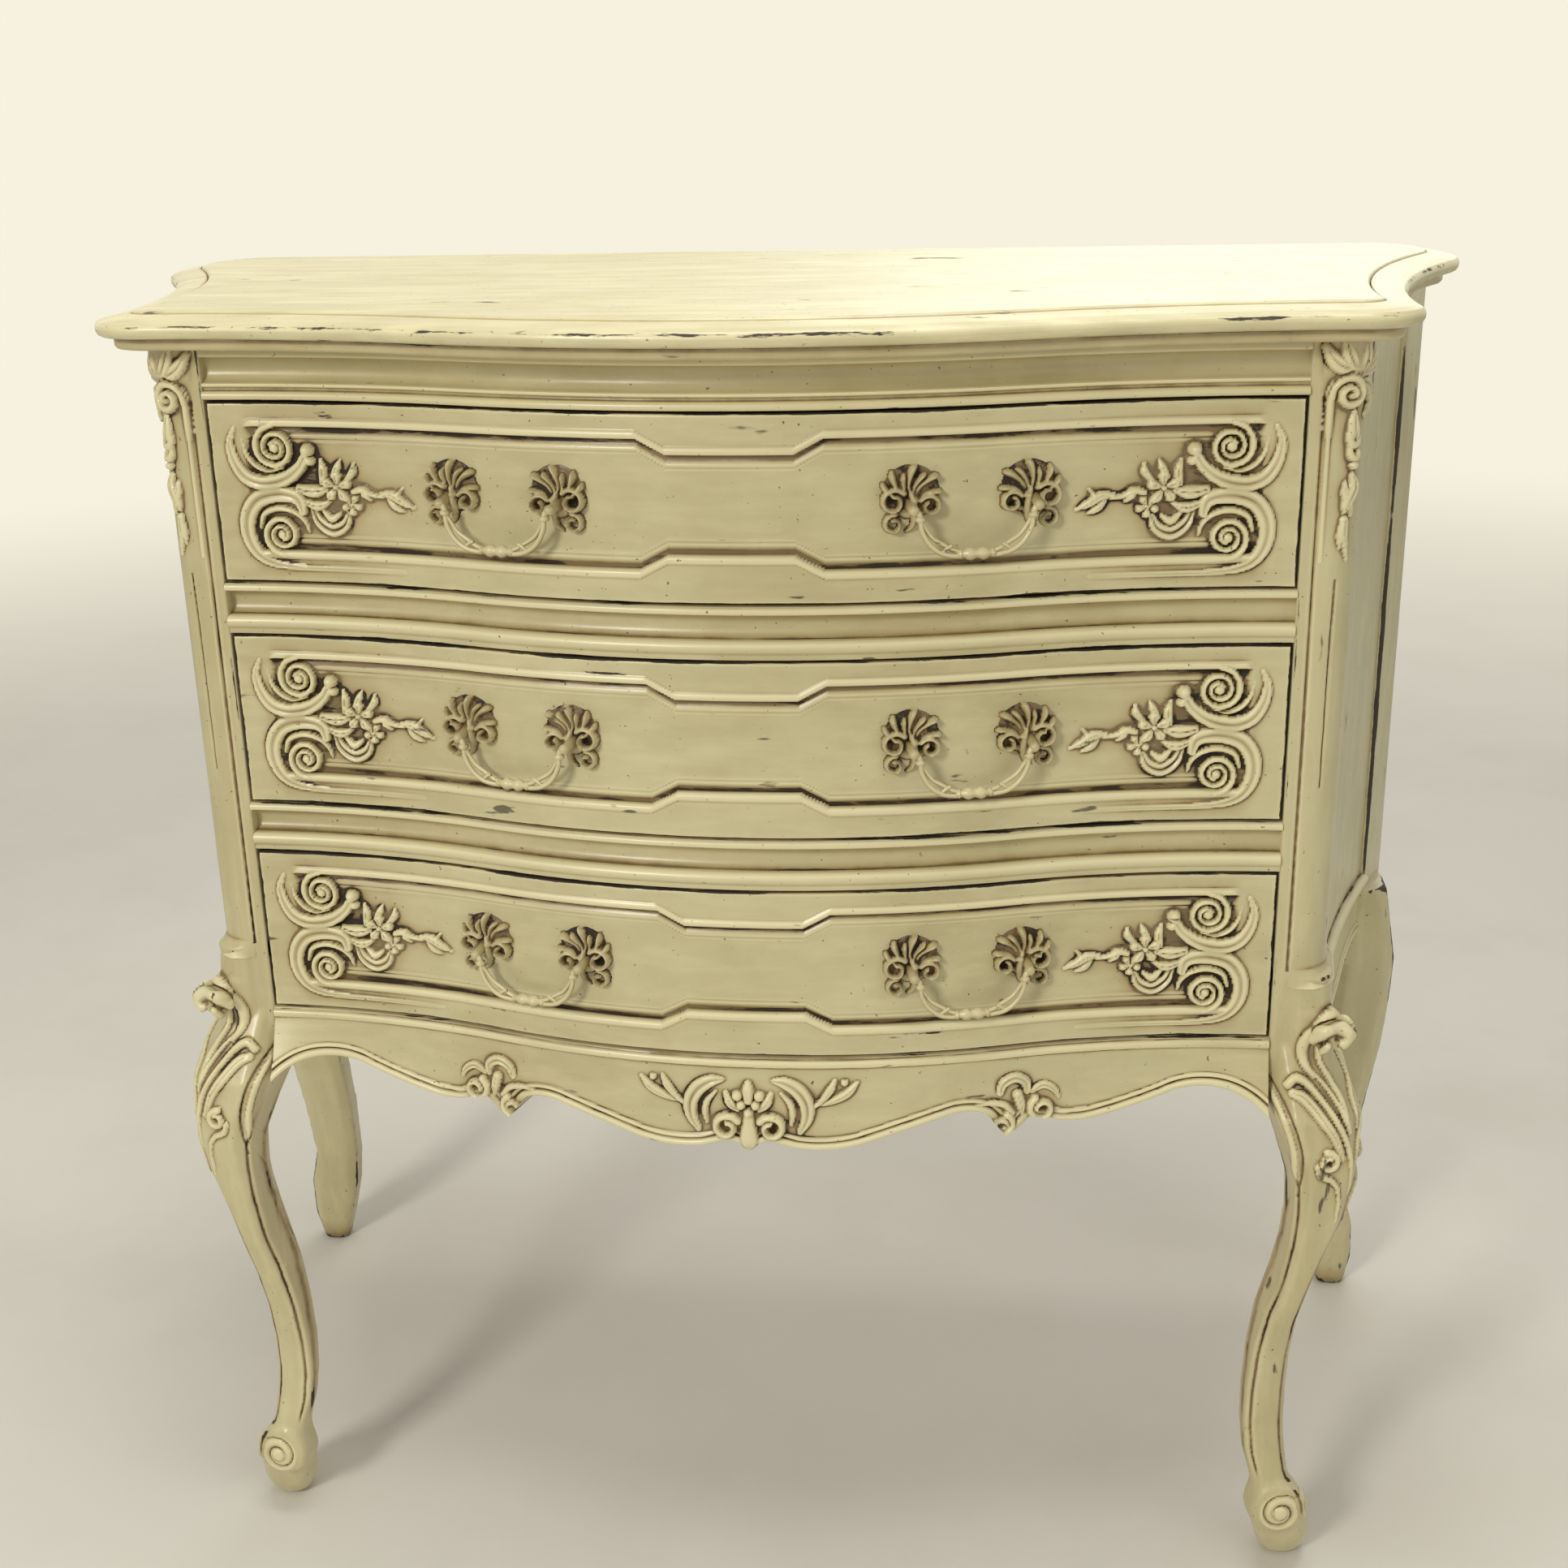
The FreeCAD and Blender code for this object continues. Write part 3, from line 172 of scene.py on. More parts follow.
def make_piece(name, points, faces, body, material, cavity=None, wear=None, sharp=60, side=1):
    """Mesh piece that rides on a body, with its marks on the points; side -1 mirrors it."""
    mesh = bpy.data.meshes.new(name)
    points = np.asarray(points, float).reshape(-1, 3)
    if side < 0:
        points = points * (-1, 1, 1)
        faces = [face[::-1] for face in faces]
    mesh.from_pydata(points.tolist(), [], faces)
    for key, values in (("cavity", cavity), ("wear", wear)):
        layer = mesh.attributes.new(key, "FLOAT", "POINT")
        if values is not None:
            layer.data.foreach_set("value", np.asarray(values, np.float32).ravel())
    mesh.shade_smooth()
    mesh.set_sharp_from_angle(angle=math.radians(sharp))
    mesh.materials.append(material)
    piece = bpy.data.objects.new(name, mesh)
    bpy.context.scene.collection.objects.link(piece)
    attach(piece, body)
    return piece


def grid_faces(rows, columns, wrap_rows=False, wrap_columns=False, offset=0):
    """Quads between the points of a grid, as rows of four point numbers."""
    row = np.arange(rows if wrap_rows else rows - 1)[:, None]
    column = np.arange(columns if wrap_columns else columns - 1)[None, :]
    next_row = (row + 1) % rows
    next_column = (column + 1) % columns
    quads = np.stack([row * columns + column, row * columns + next_column,
                      next_row * columns + next_column, next_row * columns + column], -1)
    return (quads.reshape(-1, 4) + offset).tolist()


def loft(points, cap_start=True, offset=0):
    """Faces of a tube whose rows are rings; its far end is closed, and its start where asked."""
    rings, count = points.shape[:2]
    faces = grid_faces(rings, count, wrap_columns=True, offset=offset)
    if cap_start:
        faces.append(list(range(offset + count - 1, offset - 1, -1)))
    last = offset + (rings - 1) * count
    faces.append(list(range(last, last + count)))
    return faces


def softened(values, passes):
    """Values of a grid after repeated smoothing, down and across by turns."""
    for _ in range(2 * passes):
        wide = np.pad(values, ((1, 1), (0, 0)), mode="edge")
        values = ((wide[:-2] + 2 * values + wide[2:]) / 4).T
    return values


# Marks of a height field: passes of smoothing, the depth that gives a full mark, and its share
NEAR_PASSES, NEAR_DEPTH, NEAR_SHARE = 3, 0.42 * MM, 0.55
WIDE_PASSES, WIDE_DEPTH, WIDE_SHARE = 45, 2.0 * MM, 0.75
# PROUDEST caps the painted highlight on raised parts and DEEPEST the glaze and painted shade in
# hollows.
PROUDEST, DEEPEST = -0.8, 0.55


def relief_marks(height, share=1.0):
    """Marks of a height field: how far each point lies below what is round it, and no wear yet; the
    paint turns hollows into glaze with painted shade and raised parts into a painted highlight.
    """
    near = (height - softened(height, NEAR_PASSES)) / NEAR_DEPTH
    wide = (height - softened(height, WIDE_PASSES)) / WIDE_DEPTH
    broad = np.clip(-WIDE_SHARE * wide, PROUDEST, DEEPEST)
    depth = np.clip((broad - NEAR_SHARE * near) * share, -1, 1)
    return depth, np.zeros_like(depth)


def ripple(u, v, size, seed):
    """Smooth unevenness between -1 and 1 over a surface, from a few crossed waves."""
    rng = np.random.default_rng(seed)
    total = np.zeros(np.broadcast(u, v).shape)
    for _ in range(7):
        turn = rng.uniform(0, math.pi)
        pitch = size * rng.uniform(0.5, 1.6)
        total += np.sin((u * math.cos(turn) + v * math.sin(turn)) / pitch + rng.uniform(0, 6.3))
    return total / 7


# Carving: strokes laid over a surface, in millimetres

def spline(points, step=0.4):
    """Smooth run through (u, v, half width, height) points, with samples a step apart."""
    points = np.array(points, float)
    if len(points) == 1:
        return points
    ends = np.vstack([2 * points[0] - points[1], points, 2 * points[-1] - points[-2]])
    run = []
    for k in range(1, len(ends) - 2):
        a, b, c, d = ends[k - 1:k + 3]
        count = max(int(np.hypot(*(c - b)[:2]) / step), 2)
        t = np.linspace(0, 1, count, endpoint=False)[:, None]
        run.append(0.5 * (2 * b + (c - a) * t + (2 * a - 5 * b + 4 * c - d) * t ** 2
                          + (3 * b - a - 3 * c + d) * t ** 3))
    return np.vstack(run + [points[-1:]])


def volute(u, v, radius, start, turns, width, height, eye=0.12):
    """Scroll that winds in from a radius to its eye; turns below zero wind clockwise."""
    count = max(int(abs(turns) * 14), 6)
    share = np.linspace(0, 1, count)
    angle = math.radians(start) + share * turns * 2 * math.pi
    reach = radius * (1 - (1 - eye) * share ** 0.85)
    half = width * (1 - 0.45 * share)
    return np.stack([u + reach * np.cos(angle), v + reach * np.sin(angle), half,
                     height * (0.9 + 0.5 * share)], 1).tolist()


# Kinds of stroke, each by the share of its height that the groove along it takes away
ROUND, HOLLOW, LEAF = 0.0, 0.55, 0.3
GROOVE_WIDTHS = {HOLLOW: 0.42, LEAF: 0.16}
CROWN_SPREAD, CROWN_POWER = 2.4, 0.55
THINNEST = 0.05
NOWHERE = -1e3
CUT_REACH = 3


def within(u, v, run, reach):
    """Which points lie near enough to a run for it to touch them."""
    return ((u > run[:, 0].min() - reach) & (u < run[:, 0].max() + reach)
            & (v > run[:, 1].min() - reach) & (v < run[:, 1].max() + reach))


def stroke_height(u, v, points, kind, level):
    """Height of one stroke over scattered points, and low below them where it doesn't reach."""
    run = spline(points)
    height = np.full(u.shape, NOWHERE)
    near = within(u, v, run, run[:, 2].max())
    if not near.any():
        return height
    du = u[near][:, None] - run[None, :, 0]
    dv = v[near][:, None] - run[None, :, 1]
    across = np.sqrt(du ** 2 + dv ** 2) / np.maximum(run[None, :, 2], THINNEST)
    best = across.argmin(1)
    t = across[np.arange(len(best)), best]
    crown = np.clip(1 - t ** CROWN_SPREAD, 0, 1) ** CROWN_POWER
    if kind in GROOVE_WIDTHS:
        crown = crown * (1 - kind * bell(t, GROOVE_WIDTHS[kind]))
    height[near] = np.where(t < 1, level + run[best, 3] * crown, NOWHERE)
    return height


def carved(u, v, base, strokes):
    """Base surface with strokes added; u, v and heights are in millimetres."""
    surface = base.copy()
    for points, kind, level in strokes:
        surface = np.maximum(surface, stroke_height(u, v, points, kind, level))
    return surface


def incised(u, v, points, depth):
    """Depth of a cut line over scattered points, in millimetres."""
    run = spline(points, 1.0)
    cut = np.zeros(u.shape)
    near = within(u, v, run, CUT_REACH * run[:, 2].max())
    if near.any():
        distance = np.hypot(u[near][:, None] - run[None, :, 0],
                            v[near][:, None] - run[None, :, 1])
        best = distance.argmin(1)
        t = distance[np.arange(len(best)), best] / run[best, 2]
        cut[near] = depth * np.exp(-t ** 2)
    return cut


def petals(u, v, count, reach, size, height, start, level):
    """Flower of round petals about a button."""
    strokes = []
    for number in range(count):
        angle = math.radians(start) + number * 2 * math.pi / count
        near, far = reach * 0.45, reach
        strokes.append(([[u + near * math.cos(angle), v + near * math.sin(angle), size * 0.6,
                          height * 0.7],
                         [u + far * math.cos(angle), v + far * math.sin(angle), size, height]],
                        LEAF, level))
    strokes.append(([[u, v, size * 0.55, height * 1.15]], ROUND, level))
    return strokes


# Shader maths as expressions

class Socket:
    """Output of a shader node that can stand in an expression."""

    def __init__(self, shader, link):
        self.shader = shader
        self.link = link

    def maths(self, operation, *others, clamp=False):
        return self.shader.node("ShaderNodeMath", {"operation": operation, "use_clamp": clamp},
                                dict(enumerate((self, *others))))

    def __add__(self, other):
        return self.maths("ADD", other)

    def __mul__(self, other):
        return self.maths("MULTIPLY", other)

    def __sub__(self, other):
        return self.maths("SUBTRACT", other)

    def __rsub__(self, other):
        return self.shader.node("ShaderNodeMath", {"operation": "SUBTRACT"}, {0: other, 1: self})

    __radd__ = __add__
    __rmul__ = __mul__

    def held(self):
        """The value kept between 0 and 1."""
        return self.maths("ADD", 0.0, clamp=True)

    def step(self, low, high):
        """Smooth rise from 0 at low to 1 at high."""
        return self.shader.node("ShaderNodeMapRange", {"interpolation_type": "SMOOTHSTEP"},
                                {"Value": self, "From Min": low, "From Max": high})


class Shader:
    """Material or world whose nodes are made from expressions."""

    def __init__(self, owner, output="ShaderNodeOutputMaterial"):
        self.owner = owner
        owner.use_nodes = True
        self.tree = owner.node_tree
        self.tree.nodes.clear()
        self.output = self.tree.nodes.new(output)

    def node(self, kind, settings=None, inputs=None, output=0):
        """A node of any kind: its settings first, then the values or links of its sockets."""
        made = self.tree.nodes.new(kind)
        for key, value in (settings or {}).items():
            setattr(made, key, value)
        for key, value in (inputs or {}).items():
            if isinstance(value, Socket):
                self.tree.links.new(value.link, made.inputs[key])
            else:
                made.inputs[key].default_value = value
        return Socket(self, made.outputs[output])

    def mix(self, share, first, second):
        """Colour between two colours."""
        def colour(value):
            return value if isinstance(value, Socket) else (*value, 1)
        return self.node("ShaderNodeMix", {"data_type": "RGBA"},
                         {0: share, 6: colour(first), 7: colour(second)}, output=2)

    def place(self, scale=(1, 1, 1), shift=(0, 0, 0)):
        """Place on the object at rest, in metres, stretched and shifted."""
        where = self.node("ShaderNodeTexCoord", output=3)
        return self.node("ShaderNodeMapping", {},
                         {"Vector": where, "Scale": scale, "Location": shift})

    def noise(self, where, scale, detail, roughness, distortion=0.0):
        """Cloudy noise about one half."""
        return self.node("ShaderNodeTexNoise", {}, {
            "Vector": where, "Scale": scale, "Detail": detail, "Roughness": roughness,
            "Distortion": distortion})

    def mark(self, name):
        """Value kept on the points of the mesh."""
        return self.node("ShaderNodeAttribute", {"attribute_name": name}, output=2)

    def bump(self, height, distance, strength, below=None):
        """Fine unevenness from a height, laid over another bump where one is given."""
        inputs = {"Height": height, "Distance": distance, "Strength": strength}
        if below is not None:
            inputs["Normal"] = below
        return self.node("ShaderNodeBump", {}, inputs)

    def surface(self, **inputs):
        """Principled surface."""
        named = {key.replace("_", " ").title(): value for key, value in inputs.items()}
        return self.node("ShaderNodeBsdfPrincipled", {}, named)

    def end(self, last):
        """Ends in a surface, and gives the material or world back."""
        self.tree.links.new(last.link, self.output.inputs["Surface"])
        return self.owner


# Noises of the finishes: scale, detail and roughness
CLOUD, MOTTLE, FINE, STROKES = (5.0, 5.0, 0.6), (38.0, 5.0, 0.62), (240.0, 4.0, 0.6), (90.0, 5.0,
                                                                                       0.6)
SMUDGES, BREAKS, SCUFFS, SPECKS = (13.0, 5.0, 0.65), (62.0, 6.0, 0.66), (60.0, 3.0, 0.5), (330.0,
                                                                                           2.0, 0.5)
RINGS, FIBRES, TIMBER_STAIN = (1.6, 6.0, 0.55, 1.2), (9.0, 5.0, 0.65), (7.0, 4.0, 0.6)
RUST_SPOTS, FLOOR_CLOUD = (420.0, 5.0, 0.7), (3.0, 6.0, 0.6)
WAX_ROUGHNESS = 0.22
PAINT_SKIN = 0.6 * MM
CHIP_DEPTH = 0.4 * MM
GRAIN_DEPTH = 0.6 * MM
STEEL_BUMP = 0.3 * MM
STEEL = (0.36, 0.35, 0.33)
RUST = (0.16, 0.075, 0.035)
SCUFF_ACROSS = (0.35, 1.0, 1.6)
SCUFF_UP = (1.6, 1.0, 0.35)


def paint_material(name, dirt=0.0, along=(1, 1, 1), top=0.0, scuff=SCUFF_ACROSS):
    """Worn cream paint: dirt darkens it, along and scuff set the run of strokes and chips; top makes
    the paint paler as painted light on a top board, raised parts get a painted highlight, and hollows
    get glaze with painted shade.
    """
    paint = bpy.context.scene.commode_paint
    s = Shader(bpy.data.materials.new(name))
    where = s.place()
    run = s.place(scale=along)
    depth = s.mark("cavity")
    hollow = depth.held()
    painted_highlight = (depth * -1.0).held()
    wear = s.mark("wear")
    cloud = s.noise(where, *CLOUD)
    mottle = s.noise(where, *MOTTLE)
    fine = s.noise(where, *FINE)
    strokes = s.noise(run, *STROKES)
    pale = tuple(min(1.0, value * 1.3 + 0.06) for value in paint.cream)
    # top takes away yellowed tone and adds pale strokes: the top board is painted paler for the light
    # that falls on it from above.
    colour = s.mix(cloud.step(0.42, 0.66) * (0.75 - top), tuple(paint.cream), tuple(paint.shade))
    colour = s.mix(mottle.step(0.45, 0.75) * 0.32, colour, tuple(paint.shade))
    colour = s.mix(strokes.step(0.36, 0.76) * (0.28 + top), colour, pale)
    # Raised parts, where the cavity mark is below zero, get a painted highlight in the pale colour.
    colour = s.mix(painted_highlight.step(0.05, 0.65) * 0.78, colour, pale)
    # Hollows get the tan and then the glaze colour: partly glaze lying in them, partly painted shade;
    # dirt adds tan all over.
    tan = (hollow.step(0.05, 0.62) * (0.42 + 0.7 * mottle) + dirt * (0.25 + cloud)).held()
    colour = s.mix(tan * 0.88, colour, tuple(paint.tan))
    glaze_and_painted_shade = (hollow + (mottle - 0.5) * 0.8).step(0.46, 0.88) * (0.78 + 0.2 * dirt)
    colour = s.mix(glaze_and_painted_shade, colour, tuple(paint.glaze))
    smudge = s.noise(s.place(scale=along, shift=(5, 2, 4)), *SMUDGES).step(0.60, 0.80)
    colour = s.mix(smudge * 0.34, colour, tuple(paint.tan))
    breaks = s.noise(s.place(scale=along, shift=(3, 1, 2)), *BREAKS)
    # The deepest hollows, broken up by noise, go to the near-black worn-wood colour as painted shade;
    # gone also holds the real rubbed edges, scuffs and specks.
    deep = (hollow + (breaks - 0.5) * 1.9).step(0.90, 1.06)
    rub = (wear * 0.8 + (breaks - 0.5) * 2.6 + (paint.wear - 0.5)).step(0.80, 0.92)
    rub = rub * wear.step(0.1, 0.35)
    scuffs = s.noise(s.place(scale=scuff, shift=(7, 3, 5)), *SCUFFS).step(0.70, 0.745) * 0.8
    specks = s.noise(where, *SPECKS).step(0.72, 0.76) * 0.75
    gone = deep.maths("MAXIMUM", rub).maths("MAXIMUM", scuffs.maths("MAXIMUM", specks))
    colour = s.mix(gone, colour, tuple(paint.bare))
    rough = (0.29 + 0.18 * mottle + 0.3 * gone + 0.22 * glaze_and_painted_shade).held()
    skin = s.bump(strokes * 0.6 + fine * 0.4, PAINT_SKIN, 0.4)
    chips = s.bump(gone * -1.0, CHIP_DEPTH, 0.6, below=skin)
    wax = (0.26 - 0.24 * gone).held()
    return s.end(s.surface(base_color=colour, roughness=rough, normal=chips, coat_weight=wax,
                           coat_roughness=WAX_ROUGHNESS))


def timber_material(name, grain, darker=0.0):
    """Plain old timber with its grain along one direction."""
    paint = bpy.context.scene.commode_paint
    s = Shader(bpy.data.materials.new(name))
    run = s.place(scale=grain)
    rings = s.noise(run, *RINGS)
    fibres = s.noise(run, *FIBRES)
    stain = s.noise(s.place(), *TIMBER_STAIN)
    dark = tuple(value * (0.42 - 0.15 * darker) for value in paint.timber)
    light = tuple(value * (1.0 - 0.45 * darker) for value in paint.timber)
    colour = s.mix(rings.step(0.30, 0.75) * 0.7, light, dark)
    colour = s.mix(fibres.step(0.55, 0.8) * 0.45, colour, dark)
    colour = s.mix(stain.step(0.5, 0.75) * 0.35, colour, tuple(paint.glaze))
    grain_bump = s.bump(fibres * 0.7 + rings * 0.3, GRAIN_DEPTH, 0.5)
    return s.end(s.surface(base_color=colour, roughness=(0.55 + 0.25 * fibres).held(),
                           normal=grain_bump))


def steel_material(name):
    """Dull steel with rust freckles."""
    s = Shader(bpy.data.materials.new(name))
    spots = s.noise(s.place(), *RUST_SPOTS)
    rust = spots.step(0.52, 0.66)
    return s.end(s.surface(base_color=s.mix(rust, STEEL, RUST), metallic=1.0 - rust,
                           roughness=(0.35 + 0.4 * rust).held(),
                           normal=s.bump(spots, STEEL_BUMP, 0.5)))


def material(name):
    """One of the finishes, made the first time that it is asked for."""
    found = bpy.data.materials.get(name)
    if found:
        return found
    makers = {
        "cream_front": lambda: paint_material(name, 0.05, along=(0.16, 1, 1)),
        "cream_upright": lambda: paint_material(name, 0.08, along=(1, 1, 0.16), scuff=SCUFF_UP),
        # The top board's paint is painted paler for the light from above.
        "cream_top_painted_paler": lambda: paint_material(name, 0.0, along=(0.14, 0.7, 1), top=0.35),
        "cream_cast": lambda: paint_material(name, 0.34),
        "timber_long": lambda: timber_material(name, grain=(5, 60, 60)),
        "timber_deep": lambda: timber_material(name, grain=(60, 5, 60)),
        "timber_back": lambda: timber_material(name, grain=(60, 60, 4), darker=0.6),
        "dull_steel": lambda: steel_material(name),
    }
    return makers[name]()


# Boards whose faces follow a curve of the case

# Swell of a moulding's run, as a share of its height: out for a bead and in for a cove
SWELLS = {"bead": 0.42, "cove": -0.42, "": 0.0}
ARRIS = 0.35 * MM
BOARD_SHARP = 70
BOARD_THICKNESS = 22 * MM
BOARD_RIPPLE = 24 * MM

# Seeds of the unevenness of each kind of board
RAIL_SEED, FRONT_SEED, APRON_SEED, POST_SEED = 11, 20, 31, 41
PANEL_SEED, SKIRT_SEED, TOP_SEED = 51, 55, 61


def edge_round(distance, radius):
    """Fall of a rounded arris at a distance from the edge."""
    inside = np.clip(1 - distance / radius, 0, 1)
    return radius * (1 - np.sqrt(1 - inside ** 2))


def profile_heights(points, zs):
    """Heights of a moulding over zs from (z, out, ease) corners; ease shapes the run after each."""
    out = np.zeros_like(zs)
    for (z0, o0, ease), (z1, o1, _) in zip(points, points[1:]):
        here = (zs >= z0) & (zs <= z1)
        t = (zs[here] - z0) / max(z1 - z0, 1e-6)
        out[here] = o0 + (o1 - o0) * t + SWELLS[ease] * (z1 - z0) * dome(2 * t - 1)
    return out


def closed_board(name, front, back_xy, body, finish, marks, side=1):
    """Closed board from its front points [row, column] and the plan line of its back."""
    bx, by = back_xy
    levels = (front[-1, :, 2], front[:, :, 2].mean(0), front[0, :, 2])
    lines = [np.stack([bx, by, z], -1)[None] for z in levels]
    points = np.concatenate([front, *lines])
    rows, columns = points.shape[:2]
    faces = grid_faces(rows, columns, wrap_rows=True)
    for column, order in ((0, 1), (columns - 1, -1)):
        faces.append([row * columns + column for row in range(rows)][::order])
    filler = np.zeros((len(lines), columns))
    cavity, wear = (np.concatenate([mark, filler]) for mark in marks)
    return make_piece(name, points, faces, body, finish, cavity, wear, BOARD_SHARP, side)


def spaced(low, high, step):
    """Even places between two ends, with one more close to each end for a rounded arris."""
    count = max(int(round((high - low) / step)), 2)
    inner = np.linspace(low, high, count + 1)
    return np.concatenate([[low, low + ARRIS], inner[1:-1], [high - ARRIS, high]])


# Rails of the front

RAIL_RIPPLE = 22 * MM
RAIL_STEP = 2.5 * MM
RAIL_ROW = 0.6 * MM
RAIL_ROUND = 0.9 * MM
RAIL_WEAR = 1.1 * MM


def rail_marks(out, zs):
    """Marks of a moulded rail: its hollows take glaze with painted shade, its raised parts a painted
    highlight, and its arrises are rubbed.
    """
    cavity, wear = relief_marks(out, 0.6)
    edge = np.minimum(zs - zs[0], zs[-1] - zs)[:, None]
    return cavity, np.maximum(wear, bell(edge, RAIL_WEAR))


def make_rail(node, profile, seed):
    """Front rail with its moulding swept along the serpentine line."""
    low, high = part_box(node)
    xs = np.arange(-REACH, REACH + MM, RAIL_STEP)
    xs[-1] = REACH
    zs = spaced(low.z, high.z, RAIL_ROW)
    line = profile_heights([(low.z + z * MM, o * MM, ease) for z, o, ease in profile], zs)
    edge = np.minimum(zs - zs[0], zs[-1] - zs)
    line = line - edge_round(edge, RAIL_ROUND)
    x_grid, z_grid = np.meshgrid(xs, zs)
    out = line[:, None] + wobble() * ripple(x_grid, z_grid * 2.5, RAIL_RIPPLE, seed)
    px, py = wave(x_grid, out)
    front = np.stack([px, py, z_grid], -1)
    back = (xs, np.full_like(xs, RAIL_BACK_Y))
    marks = rail_marks(out, zs)
    rail = closed_board("moulded_" + node, front, back, "cabinet", material("cream_front"), marks)
    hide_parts(node)


def wobble():
    """Unevenness of the flat faces, from the sizes in the sidebar."""
    return bpy.context.scene.commode_shape.hand_wobble


DIVIDER_PROFILE = [(0, 0, ""), (3.6, 0, ""), (3.8, -0.8, "bead"), (11.2, -0.8, ""),
                   (11.6, -2.6, "cove"),
                   (26.6, -2.2, ""), (27.4, -0.2, "bead"), (31.8, -0.2, ""), (32.5, 0, "")]
FRIEZE_PROFILE = [(0, 0, "bead"), (5.0, 0, ""), (5.6, -2.2, ""), (7.4, -2.2, ""), (8.0, -0.4, ""),
                  (9.8, -0.4, "cove"), (25.4, -0.8, ""), (26.0, 0.4, ""), (32.0, 0.6, "")]


class COMMODE_OT_rails(bpy.types.Operator):
    """Frieze and the two moulded rails between the drawers"""

    bl_idname = "commode.rails"
    bl_label = "Moulded rails"

    def execute(self, context):
        rails = (("frieze_rail", FRIEZE_PROFILE), ("divider_rail_upper", DIVIDER_PROFILE),
                 ("divider_rail_lower", DIVIDER_PROFILE))
        for seed, (node, profile) in enumerate(rails, RAIL_SEED):
            make_rail(node, profile, seed)
        return {"FINISHED"}


# Drawer fronts: sunk field in a notched bead frame, with scrolls and flowers at both ends

BEAD_TOP = 43.0
BEAD_BOTTOM = -38.0
NOTCH = 9.0
NOTCH_INNER = 37.0
NOTCH_OUTER = 54.0
FIELD_END = 301.0
FIELD_FADE = 8
BEAD_HALF = 2.3
BEAD_RISE = 1.5
FRONT_ROUND = 1.3 * MM
# Stain in the carved ends: its strength, where it starts and ends, and the run of each
STAIN, STAIN_START, STAIN_RISE, STAIN_END, STAIN_FALL = 0.27, 190, 50, 312, 12
BEAD_END = 296

# Section from the bead to the field: places, and heights as shares of the field's depth
FIELD_PLACES = [-BEAD_HALF, BEAD_HALF, 2.9, 5.2, 8.2, 9.6, 10.2, 10.8, 13.0, 34.0]
FIELD_SHARES = [0, 0, -1.18, -1.18, -0.72, -0.72, -0.92, -0.72, -0.86, -1.0]


def field_profile(s, deep):
    """Section across the bead frame: s runs inwards from the middle of the bead."""
    flat = np.interp(s, FIELD_PLACES, [share * deep for share in FIELD_SHARES])
    return flat + BEAD_RISE * dome(s / BEAD_HALF)


def front_base(u, v, deep):
    """Plain relief of a drawer front, in millimetres, without its carving."""
    notch = NOTCH * descent(np.abs(u), NOTCH_OUTER, NOTCH_OUTER - NOTCH_INNER)
    inside = np.minimum(BEAD_TOP - notch - v, v - BEAD_BOTTOM - notch)
    near_end = descent(np.abs(u), FIELD_END + FIELD_FADE / 2, FIELD_FADE)
    near_end = near_end * near_end * (3 - 2 * near_end)
    return field_profile(inside, deep) * near_end


